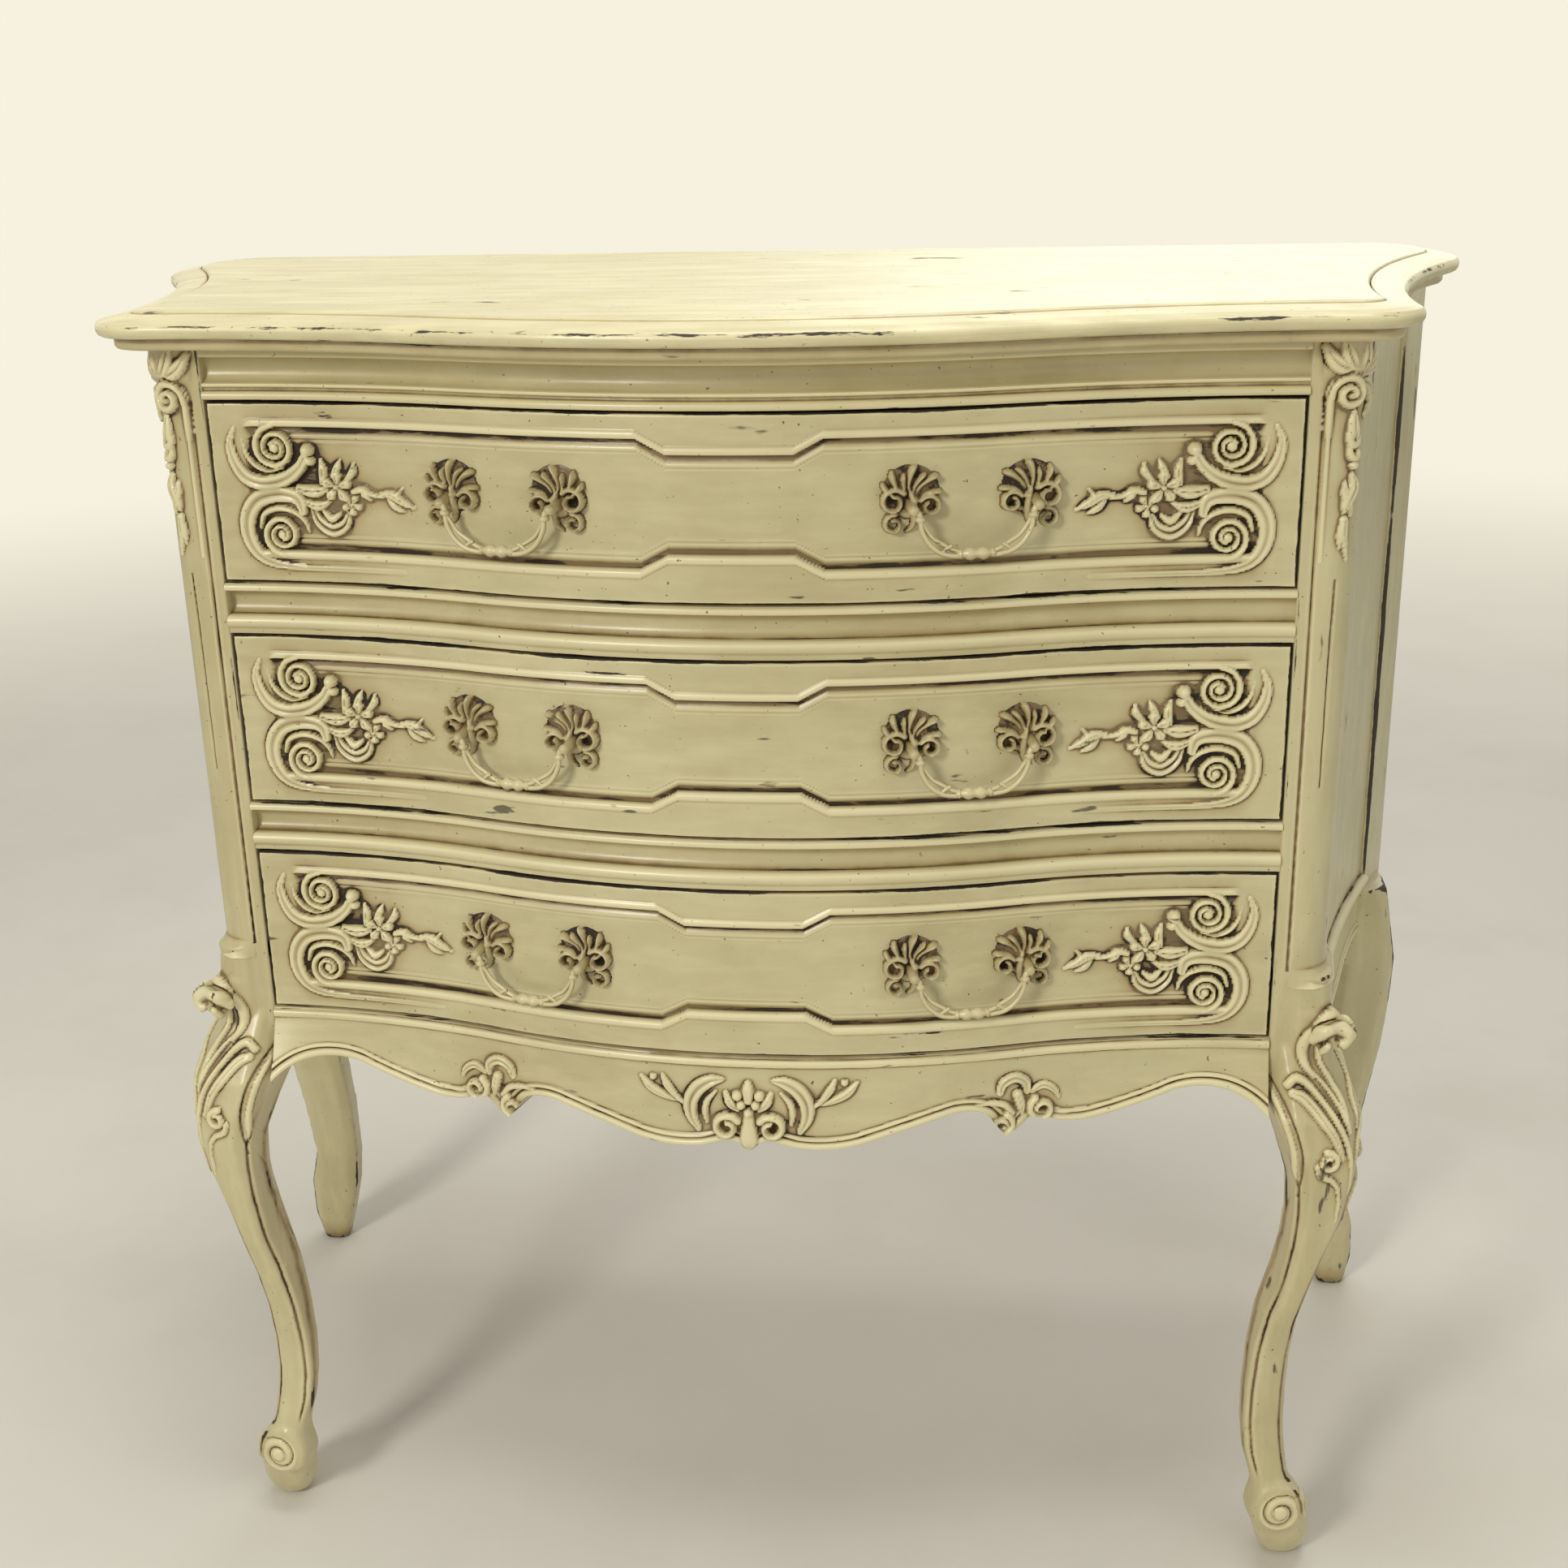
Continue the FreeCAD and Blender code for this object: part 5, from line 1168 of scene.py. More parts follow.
def foot_spiral(u, v):
    """Relief of the scroll on the face of the foot: one ridge that winds in to a button."""
    du, dv = u - FOOT_SPIRAL_X, v - FOOT_SPIRAL_Z
    reach = np.hypot(du, dv)
    turn = np.arctan2(dv, du) / (2 * math.pi)
    phase = (reach / FOOT_PITCH + turn) % 1.0
    ridge = 1.3 * np.sin(math.pi * phase) - 0.9 * bell(np.minimum(phase, 1 - phase), 0.10)
    button = 2.2 * dome(reach / FOOT_EYE)
    return np.where(reach < FOOT_EYE, button, ridge) * descent(reach, FOOT_SPIRAL_REACH, 3)


# Front leg: its mesh, in millimetres the lines down its front, and where each starts and ends
LEG_VOXEL, LEG_PASSES, LEG_TOP = 1.25 * MM, 20, 438 * MM
INNER_EDGE, INNER_GROOVE, OUTER_EDGE = 1.2, 6.2, 3.4
KNEE_LINE = [[313, 374.5, 0.7, 1], [325, 368, 0.9, 1], [337.5, 352, 0.9, 1], [346, 331, 0.9, 1],
             [348.4, 312, 0.9, 1], [346.5, 292, 0.5, 1]]
LINE_DEPTH = 1.3
FOOT_MELT, KNOB_MELT = 90, 300

# Swells of the toe: height, run and how far it stands out, in millimetres
TOES = ((62, 20, 1.7), (30, 16, 2.0))

# Eyes in the knee's curls: place, radius and depth, in millimetres
LEG_EYES = ((364.2, 320, 1.7, 3.0), (366.5, 402, 2.0, 3.2))

BACK_LEG_VOXEL, BACK_LEG_PASSES = 1.9 * MM, 6
LEG_SHARP = 80


def make_front_leg(side_name, side):
    """Front leg below its post, with carved knee, lines down its faces and a scrolled foot."""
    points, faces, edges, normals = even_mesh("leg_front_right", LEG_VOXEL, LEG_PASSES, LEG_TOP)
    foot = descent(points[:, 2], 92 * MM, 30 * MM)
    knob_top = climb(points[:, 2], 409 * MM, 5 * MM)
    knob_top *= descent(points[:, 2], 437 * MM, 4 * MM)
    knob_top *= climb(points[:, 0] - REACH, 12 * MM, 8 * MM)
    for passes, melt in ((FOOT_MELT, foot), (KNOB_MELT, knob_top)):
        for axis in range(3):
            points[:, axis] += (spread(points[:, axis], edges, passes) - points[:, axis]) * melt
    for height, run, swell in TOES:
        toe = descent(points[:, 2], height * MM, run * MM)
        points[:, :2] += normals[:, :2] * (swell * MM * toe[:, None])
    joint = (points[:, 2] > 350 * MM) & (normals[:, 0] < -0.3)
    joint &= points[:, 0] < REACH + 1.6 * MM
    points[joint, 0] = np.minimum(points[joint, 0], REACH)
    low_x, low_y, high_x, high_y = section_bounds(points)
    z = points[:, 2] / MM
    middle = (low_x + high_x + low_y + high_y) / 2
    on_front = points[:, 0] + points[:, 1] < middle
    u = np.where(on_front, points[:, 0], middle - points[:, 1]) / MM
    facing = np.where(on_front, -normals[:, 1], normals[:, 0])
    facing = np.clip(facing * 1.8, 0, 1)
    strokes = carved(u, z, np.zeros(len(u)), leg_carving())
    inner_line = u - low_x / MM
    lower = climb(z, 74, 12) * descent(z, 345, 30)
    outer = climb(z, 40, 12) * descent(z, 300, 30)
    outer_line = (high_x - points[:, 0]) / MM
    front_face = normals[:, 1] < -0.2
    lines = bell(inner_line - INNER_GROOVE, 1.05) * lower * on_front
    margin = bell(outer_line - OUTER_EDGE, 1.25) * outer * front_face
    margin += 0.7 * bell(inner_line - INNER_EDGE, 0.9) * lower * on_front
    lines += incised(u[None], z[None], KNEE_LINE, 1.0)[0] * on_front
    rubbed = bell(inner_line - INNER_EDGE, 1.2) * lower
    rubbed += 1.25 * bell(outer_line - OUTER_EDGE, 1.5) * outer * front_face
    rubbed += 0.85 * bell(inner_line - INNER_GROOVE, 1.1) * lower * on_front
    spiral = foot_spiral(u, z) * (points[:, 1] < FRONT_Y - 18 * MM)
    height = bpy.context.scene.commode_shape.carving_height
    relief = (strokes - LINE_DEPTH * lines + spiral) * facing * MM * height
    for eye_u, eye_z, radius, deep in LEG_EYES:
        relief -= deep * MM * facing * pit(u, z, eye_u, eye_z, radius)
    depth, wear = mesh_marks(points, normals, edges, relief)
    wear *= 1 - bell(points[:, 0] - REACH, 5 * MM) * (z > 340)
    # Cut lines and edge lines are darkened, and the last 4 mm above the floor get painted shade where
    # the foot meets the floor.
    depth = np.clip(depth + 0.75 * lines * facing + margin + descent(z, 4, 4), -1, 1)
    marks = depth, np.maximum(wear, rubbed)
    points = points + normals * relief[:, None]
    points[:, 2] = np.maximum(points[:, 2], 0)
    leg = make_piece("carved_leg_" + side_name, points, faces, "cabinet",
                     material("cream_upright"), *marks, LEG_SHARP, side)
    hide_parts("leg_front_" + side_name)


def make_back_leg(side_name, side):
    """Plain back post with its shaped leg."""
    points, faces, edges, normals = even_mesh("leg_back_right", BACK_LEG_VOXEL, BACK_LEG_PASSES)
    cavity, wear = mesh_marks(points, normals, edges, np.zeros(len(points)))
    # Towards the floor the back leg gets painted shade through its cavity mark, and its foot is
    # rubbed.
    foot = descent(points[:, 2], 26 * MM, 22 * MM)
    marks = np.maximum(cavity, 0.7 * foot), np.maximum(1.4 * wear, 0.5 * foot)
    points[:, 2] = np.maximum(points[:, 2], 0)
    leg = make_piece("shaped_back_leg_" + side_name, points, faces, "cabinet",
                     material("cream_upright"), *marks, LEG_SHARP, side)
    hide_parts("leg_back_" + side_name)


class COMMODE_OT_legs(bpy.types.Operator):
    """Front posts, carved cabriole legs and plain back legs"""

    bl_idname = "commode.legs"
    bl_label = "Posts and legs"

    def execute(self, context):
        for side_name, side in SIDES:
            make_post(side_name, side)
            make_front_leg(side_name, side)
            make_back_leg(side_name, side)
        return {"FINISHED"}


# Case sides

PANEL_OUT = -3.0 * MM
PANEL_THICKNESS = 14 * MM
PANEL_COLUMNS, PANEL_ROWS = 100, 150
PANEL_RIPPLE = 40 * MM
SKIRT_THICKNESS = 20 * MM
SKIRT_MIDDLE = 9 * MM
SKIRT_STEP, SKIRT_ROWS = 1.6 * MM, 64
CORNICE_HEIGHT = 14 * MM
CORNICE_THICKNESS = 2 * MM
CORNICE_COLUMNS = 90
SIDE_DEPTHS = (SIDE_PANEL[0].y - FRONT_Y, SIDE_PANEL[1].y - FRONT_Y)


def side_board(name, side, ys, zs, out, back_out, marks):
    """Closed board on the curve of a case side; zs and out are grids [row, column]."""
    y_grid = np.broadcast_to(ys, zs.shape)
    front = np.stack([*side_line(y_grid, out), zs], -1)
    board = closed_board(name, front, side_line(ys, back_out), "cabinet",
                         material("cream_upright"), marks, side)
    return board


def make_side(side_name, side):
    """Panel, apron and moulding of one side of the case."""
    low, high = SIDE_DEPTHS
    ys = np.linspace(low, high, PANEL_COLUMNS)
    zs = np.linspace(SIDE_PANEL[0].z, SIDE_PANEL[1].z, PANEL_ROWS)
    y_grid, z_grid = np.meshgrid(ys, zs)
    uneven = ripple(y_grid, z_grid * 0.6, PANEL_RIPPLE, PANEL_SEED + side)
    out = PANEL_OUT + 1.6 * wobble() * (uneven - 1)
    near = np.minimum(np.minimum(y_grid - low, high - y_grid), z_grid - zs[0])
    # Painted shade along the panel's edges, where it meets the posts and the skirt.
    cavity = 0.6 * bell(near, 4 * MM)
    panel = side_board("side_face_" + side_name, side, ys, z_grid, out, PANEL_OUT - PANEL_THICKNESS,
                       (cavity, np.zeros_like(out)))
    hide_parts("side_panel_" + side_name)

    ys = np.arange(low, high + 0.1 * MM, SKIRT_STEP)
    ys[-1] = high
    edge = eased(lower_edge("side_apron_right", *side_line(ys, PANEL_OUT - SKIRT_MIDDLE)), 4)
    rows = np.linspace(0, 1, SKIRT_ROWS)
    z_grid = edge[None, :] + rows[:, None] * (APRON_TOP - edge[None, :])
    y_grid = np.broadcast_to(ys, z_grid.shape)
    u, v = y_grid / MM, z_grid / MM
    relief = lip_profile(edge_distance(u, v, ys / MM, edge / MM)) * 0.7
    top = APRON_TOP / MM
    bead = profile_heights([(0, 0, ""), (top - 10.5, 0, "bead"), (top - 1.5, 0, ""), (top, 0, "")],
                           v.ravel())
    relief = np.maximum(relief, bead.reshape(v.shape) * 1.5)
    relief -= 0.9 * bell(v - (top - 12), 0.8)
    uneven = wobble() * ripple(y_grid, z_grid, BOARD_RIPPLE, SKIRT_SEED + side)
    out = PANEL_OUT + relief * MM + uneven
    apron = side_board("side_skirt_" + side_name, side, ys, z_grid, out, PANEL_OUT - SKIRT_THICKNESS,
                       relief_marks(out, 0.8))
    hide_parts("side_apron_" + side_name)

    base = (CASE_TOP - CORNICE_HEIGHT) / MM
    turn = np.linspace(0, math.pi / 2, 12)
    corners = [(0, -3.0), (0, -0.4), (0.3, 0), (1.6, 0.2), (1.8, -0.3)]
    corners += [(2 + 8.4 * math.sin(t), 0.2 + 7.0 * (1 - math.cos(t))) for t in turn]
    corners += [(10.8, 7.6), (11.2, 7.9), (13.4, 8.0), (14, 7.8)]
    ys = np.linspace(low, high, CORNICE_COLUMNS)
    rise, reach = np.array(corners).T
    z_grid = np.broadcast_to(((base + rise) * MM)[:, None], (len(rise), len(ys)))
    out = np.broadcast_to((reach * MM)[:, None], z_grid.shape)
    mould = side_board("side_cornice_" + side_name, side, ys, z_grid, out,
                       PANEL_OUT - CORNICE_THICKNESS, relief_marks(out, 0.3))
    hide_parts("side_moulding_" + side_name)


class COMMODE_OT_sides(bpy.types.Operator):
    """Bowed side panels with their shaped aprons and mouldings"""

    bl_idname = "commode.sides"
    bl_label = "Case sides"

    def execute(self, context):
        for side_name, side in SIDES:
            make_side(side_name, side)
        return {"FINISHED"}


# Top board

TOP_OVERHANG = 33 * MM
TOP_BULGE = 58 * MM
TOP_CORNER_X = 350 * MM
TOP_CORNER = 37 * MM
TOP_TILT = math.radians(1.7)
TOP_SIDE = 499 * MM
EAR_TURN = math.radians(29.1)
EAR = 80 * MM
TOP_RIPPLE = 60 * MM

# Points along the front, corner, side, ear, its end and the back of half the outline
FRONT_POINTS, CORNER_POINTS, SIDE_POINTS, EAR_POINTS, END_POINTS, BACK_POINTS = 170, 46, 110, 40, 8, 90

# Section of the top's edge from below to the field: inset from the outline, height, cavity, wear; the
# cavity is painted shade in the cove under the lip, a painted highlight on the lip's round where it is
# below zero, and glaze with painted shade in the incised line.
TOP_EDGE = [(26, 0, 0.5, 0), (14, 0, 0.5, 0), (11.4, 0.5, 0.4, 0), (10.2, 2, 0.35, 0.2),
            (10, 4.4, 0.4, 0.1),
            (10, 6.4, 0.6, 0), (9.4, 7.2, 0.9, 0), (6.5, 7.6, 0.75, 0), (3.2, 8.0, 0.35, 0),
            (1.4, 9.0, 0, 0.25),
            (0.4, 10.8, -0.2, 0.5), (0, 12.8, -0.3, 0.5), (0.3, 14.6, -0.3, 0.85),
            (0.9, 15.6, -0.2, 0.95),
            (1.8, 16.5, 0, 0.6), (3.0, 17.1, 0, 0.35), (4.6, 17.4, 0.1, 0.1), (7.5, 18.3, -0.2, 0),
            (11, 19.0, -0.2, 0), (15, 19.6, -0.1, 0), (19, 20.2, 0, 0), (21.3, 20.4, 0.5, 0.2),
            (22.0, 19.3, 1, 0.75), (22.8, 20.4, 0.5, 0.5), (23.4, 21.2, 0.1, 0.3),
            (24.6, 21.85, -0.1, 0.15),
            (27, 22, 0, 0)]


def top_half(inset):
    """Right half of the top's outline at an inset, from the front's middle to the back's."""
    x = np.linspace(0, TOP_CORNER_X, FRONT_POINTS)
    runs = [np.stack(wave(x, -inset, TOP_BULGE, TOP_CORNER_X, FRONT_Y - TOP_OVERHANG), -1)]
    corner = np.array([TOP_CORNER_X, FRONT_Y + TOP_CORNER - TOP_OVERHANG])
    turn = np.linspace(-math.pi / 2, TOP_TILT, CORNER_POINTS)[1:, None]
    runs.append(corner + (TOP_CORNER - inset) * np.hstack([np.cos(turn), np.sin(turn)]))
    side = corner + np.array([math.cos(TOP_TILT), math.sin(TOP_TILT)]) * (TOP_CORNER + TOP_SIDE)
    turn = np.linspace(-TOP_TILT, EAR_TURN, SIDE_POINTS)[1:, None]
    runs.append(side - (TOP_SIDE + inset) * np.hstack([np.cos(turn), -np.sin(turn)]))
    ear = side + np.array([-math.cos(EAR_TURN), math.sin(EAR_TURN)]) * (TOP_SIDE + EAR)
    rise = BACK_Y - ear[1]
    last = math.asin(min(rise / (EAR - inset), 1))
    turn = np.linspace(-EAR_TURN, last, EAR_POINTS)[1:, None]
    runs.append(ear + (EAR - inset) * np.hstack([np.cos(turn), np.sin(turn)]))
    end = runs[-1][-1]
    share = np.linspace(0, 1, END_POINTS)[1:, None]
    runs.append(end + (np.array([end[0], BACK_Y]) - end) * share)
    x = np.linspace(end[0], 0, BACK_POINTS)[1:]
    runs.append(np.stack([x, np.full_like(x, BACK_Y)], -1))
    return np.vstack(runs)


def top_ring(inset):
    """Whole outline of the top at an inset, once round."""
    half = top_half(inset)
    return np.vstack([half, (half[1:-1] * (-1, 1))[::-1]])


# Rings inside the edge, as shares of the way to the spine along the middle of the board
UNDER_SHARES = [0.97, 0.8, 0.6, 0.4, 0.2, 0.06]
FIELD_RING_SHARES = [0.02, 0.05, 0.1, *np.linspace(0.16, 0.97, 18)]
SPINE_SHARE = 0.8
WAIST_REACH = 40 * MM
TOP_EDGE_STEP = 1.1
TOP_SHARP = 75


class COMMODE_OT_top(bpy.types.Operator):
    """Top board with its moulded serpentine edge and incised field"""

    bl_idname = "commode.top"
    bl_label = "Top board"

    def execute(self, context):
        stops = np.array(TOP_EDGE)
        steps = np.hypot(np.diff(stops[:, 0]), np.diff(stops[:, 1]))
        along = np.concatenate([[0], np.cumsum(steps)])
        fine = np.unique(np.concatenate([along, np.arange(0, along[-1], TOP_EDGE_STEP)]))
        inset, rise, cavity, wear = (np.interp(fine, along,
                                               stops[:, column]) for column in range(4))
        middle_y = (FRONT_Y + BACK_Y) / 2
        # The underside rings of the top get a faint painted shade.
        rings = [(inset[0], share, 0, 0.2, 0) for share in UNDER_SHARES]
        rings += [(place, 0, height, dark, rubbed)
                  for place, height, dark, rubbed in zip(inset, rise, cavity, wear)]
        rings += [(inset[-1], share, rise[-1], 0, 0) for share in FIELD_RING_SHARES]
        lines = []
        for place, share, height, *_ in rings:
            ring = top_ring(place * MM)
            waist = np.abs(ring[np.abs(ring[:, 1] - middle_y) < WAIST_REACH, 0]).min()
            spine = np.clip(ring[:, 0], -waist, waist) * SPINE_SHARE
            target = np.stack([spine, np.full(len(ring), middle_y)], -1)
            ring = ring + (target - ring) * share
            height = CASE_TOP + height * MM
            sway = wobble() * 0.8 * (ripple(ring[:, 0], ring[:, 1], TOP_RIPPLE, TOP_SEED) - 1)
            lines.append(np.column_stack([ring, height + sway * (height > CASE_TOP + MM)]))
        points = np.array(lines)
        count = points.shape[1]
        cavity, wear = (np.repeat([[ring[column]] for ring in rings], count, 1) for column in (3,
                                                                                               4))
        top = make_piece("moulded_top", points, loft(points), "cabinet", material("cream_top_painted_paler"),
                         cavity, wear, TOP_SHARP)
        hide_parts("top")
        return {"FINISHED"}


# Pulls

BOSS_REACH = 14 * MM
PLATE_SPAN = 40 * MM


class PullFrame:
    """Place of one pull: the line of its pins, the way along it and the way out from the drawer."""

    def __init__(self, level, side_name):
        name = "bail_" + level + "_" + side_name + "_swing"
        joint = next(row for row in frame["joints"] if row["name"] == name)
        self.middle = np.array(joint["pos_m"])
        self.along = -np.array(joint["axis"])
        self.out = np.array([self.along[1], -self.along[0], 0])
        self.body = "bail_" + level + "_" + side_name

    def place(self, points):
        """World places of points given along the pins, out from them and up, in millimetres."""
        points = np.asarray(points, float) * MM
        return (self.middle + points[..., :1] * self.along + points[..., 1:2] * self.out
                + points[..., 2:] * np.array([0, 0, 1]))


def tube(path, radii, sides=14):
    """Rings of a round rod along a path of points."""
    path = np.array(path, float)
    steps = np.gradient(path, axis=0)
    steps /= np.linalg.norm(steps, axis=1)[:, None]
    across = np.array([0.0, 1.0, 0.0])
    rings = []
    for point, step, radius in zip(path, steps, np.broadcast_to(radii, len(path))):
        first = across - step * across.dot(step)
        if np.linalg.norm(first) < 0.1:
            first = np.array([0.0, 0.0, 1.0]) - step * step[2]
        first /= np.linalg.norm(first)
        second = np.cross(step, first)
        angle = np.linspace(0, 2 * math.pi, sides, endpoint=False)[:, None]
        rings.append(point + radius * (np.cos(angle) * first + np.sin(angle) * second))
    return np.array(rings)


def smooth_path(points, step=0.8):
    """Path through (along, out, up) points, with samples a step apart."""
    return spline([[p[0], p[2], p[1], 0] for p in points], step)[:, [0, 2, 1]]


def joined(tubes):
    """Points and faces of several tubes in one mesh."""
    points, faces, offset = [], [], 0
    for rings in tubes:
        faces += loft(rings, offset=offset)
        points.append(rings.reshape(-1, 3))
        offset += len(points[-1])
    return np.vstack(points), faces


def rosette_strokes():
    """Strokes of a cast rosette about its post, with its fan leaning towards the bail at plus u."""
    strokes = []
    middle = (6.0, 3.0)
    for tip_u, tip_v, width in ((-11.2, 11.4, 1.9), (-7.0, 18.2, 2.1), (-0.4, 17.4, 1.6),
                                (5.0, 23.0, 2.3),
                                (10.8, 18.6, 1.6), (17.4, 18.4, 2.1), (20.6, 9.6, 1.8)):
        run_u, run_v = tip_u - middle[0], tip_v - middle[1]
        places = [(0.20, 0.06, 0.36, 2.2), (0.50, 0.10, 0.50, 4.0), (0.78, 0.04, 0.85, 6.2),
                  (0.95, -0.03, 1.0, 7.2), (1.04, -0.10, 0.7, 6.4)]
        strokes.append(([[middle[0] + share * run_u - sway * run_v,
                          middle[1] + share * run_v + sway * run_u,
                          width * wide, height] for share, sway, wide, height in places], ROUND, 0))
    strokes += [
        (volute(-5.2, 3.4, 7.6, 40, 1.15, 2.0, 7.2, 0.42), ROUND, 0),
        (volute(15.8, 0.6, 6.4, 150, -1.1, 1.8, 6.8, 0.42), ROUND, 0),
        (volute(-5.0, -9.6, 5.8, 80, 1.1, 1.8, 6.0, 0.42), ROUND, 0),
        ([[5.2, 9, 16, 1.5]], ROUND, 0),
        ([[5, 8, 1.6, 5.0], [6.5, 1, 2.4, 6.6], [6.8, -5, 2.0, 6.0], [5.4, -11, 1.5, 4.6],
          [2.0, -14, 0.9, 3]],
         ROUND, 0),
        ([[6.5, 4.0, 2.8, 7.2]], ROUND, 0),
        ([[-2, -2, 3.0, 3.2], [4, -3, 4.0, 3.4], [12, -2, 2.6, 3.0]], ROUND, 0),
    ]
    return strokes


ROSETTE_STEP = 0.62
ROSETTE_HALF = 24
ROSETTE_THINNEST = 0.3
ROSETTE_SHARP = 75
CAST_NEAR_PASSES, CAST_NEAR_DEPTH, CAST_NEAR_SHARE = 3, 0.6, 0.55
CAST_WIDE_PASSES, CAST_WIDE_DEPTH, CAST_WIDE_SHARE = 26, 2.2, 1.1
CAST_GRIME = 0.25
NECK_SHARP = 70


def make_rosette(name, level, x_middle, z_middle, turn):
    """Cast rosette whose back follows the drawer front; turn -1 puts its tail the other way."""
    places = np.arange(-ROSETTE_HALF, ROSETTE_HALF + ROSETTE_STEP, ROSETTE_STEP)
    u, v = np.meshgrid(places, places)
    height = carved(turn * u, v, np.full(u.shape, NOWHERE), rosette_strokes())
    keep = height > ROSETTE_THINNEST
    keep = keep[:-1, :-1] | keep[1:, :-1] | keep[:-1, 1:] | keep[1:, 1:]
    height = softened(np.maximum(height, 0), 1)
    field = bpy.context.scene.commode_shape.field_depth
    rows, columns = u.shape
    number = np.arange(rows * columns).reshape(rows, columns)
    top = np.stack([number[:-1, :-1], number[:-1, 1:], number[1:, 1:], number[1:, :-1]], -1)
    top = top[keep]
    sides = np.concatenate([top[:, [k, (k + 1) % 4]] for k in range(4)])
    keys = np.sort(sides, 1) @ np.array([rows * columns, 1])
    _, first, uses = np.unique(keys, return_index=True, return_counts=True)
    rim = sides[first[uses == 1]]
    floor = top[:, ::-1] + rows * columns
    skirt = np.column_stack([rim[:, ::-1], rim + rows * columns])
    layers = []
    for out in (height * MM, np.full(u.shape, -1.0 * MM)):
        layer = np.stack([*wave(x_middle + u * MM, out - field), z_middle + v * MM], -1)
        layers.append(layer.reshape(-1, 3))
    points = np.concatenate(layers)
    faces = np.concatenate([top, skirt, floor])
    used, faces = np.unique(faces, return_inverse=True)
    near = (height - softened(height, CAST_NEAR_PASSES)) / CAST_NEAR_DEPTH
    wide = (height - softened(height, CAST_WIDE_PASSES)) / CAST_WIDE_DEPTH
    cavity = -(CAST_NEAR_SHARE * near + CAST_WIDE_SHARE * wide) + CAST_GRIME
    cavity = np.clip(cavity, -1, 1)
    # Where the plate lies low against the drawer it gets painted shade; raised lobes, where the cavity
    # is below zero, get a painted highlight.
    cavity = np.maximum(cavity, bell(height, 2.4))
    cavity = np.concatenate([cavity.ravel(), np.zeros(rows * columns)])[used]
    rosette = make_piece(name, points[used], faces.reshape(-1, 4).tolist(), "drawer_" + level,
                         material("cream_cast"), cavity, None, ROSETTE_SHARP)
    return rosette


# Neck that carries the pin, from the rosette out: along the pins, out, up, radius
NECK = [(36.5, -13.6, 1.2, 4.4), (36.6, -10.5, 1.2, 3.6), (36.6, -7.2, 0.8, 2.9),
        (36.5, -4.2, 0.3, 2.8),
        (36.3, -1.8, 0, 3.1), (36.2, 0.4, 0, 3.1), (36.2, 2.0, 0, 2.3), (36.2, 2.9, 0, 0.8)]


def both_ways(profile):
    """Profile of a turned piece, mirrored about its first place."""
    return [(-place, radius) for place, radius in profile[:0:-1]] + profile


# Turned pieces on the bail: place along it and radius, in millimetres, from the middle out
BUD = both_ways([(0, 2.6), (1.6, 3.2), (3.4, 4.0), (5.6, 3.5), (7.2, 2.3), (8.4, 1.9), (9.2, 2.9),
                 (10.4, 2.6), (11.5, 1.2)])
COLLAR = both_ways([(0, 3.3), (1.2, 2.9), (1.8, 1.6)])

# Rods of the right half of a bail: path along the pins, out and up, and radius, in millimetres
HOOK = ([[38.0, 0, 0], [35.5, 0, -0.3], [33.6, 0, -2.2], [32.4, 0, -6.0]], 1.9)
STRANDS = [
    ([[32.6, 0, -5.5], [31.8, 0.6, -12], [27.5, 0.8, -19.8], [20.5, 0.8, -25.2], [12, 0.2, -27.2],
      [6, 0, -26.6]], 1.55),
    ([[32.4, 0, -5.5], [29.8, -0.6, -10.5], [25.5, -0.8, -16.4], [19, -0.6, -20.6],
      [13, 0, -24.0], [7, 0, -25.8]], 1.3),
    ([[20.4, 0.4, -25.0], [17.5, 1.0, -22.4], [14.8, 0.6, -21.0]], 1.1),
]


def rod(end, path, radius):
    """Tube along a smooth path, on the end of the bail that is asked for."""
    return tube(smooth_path([[end * along, out, up] for along, out, up in path]), radius)


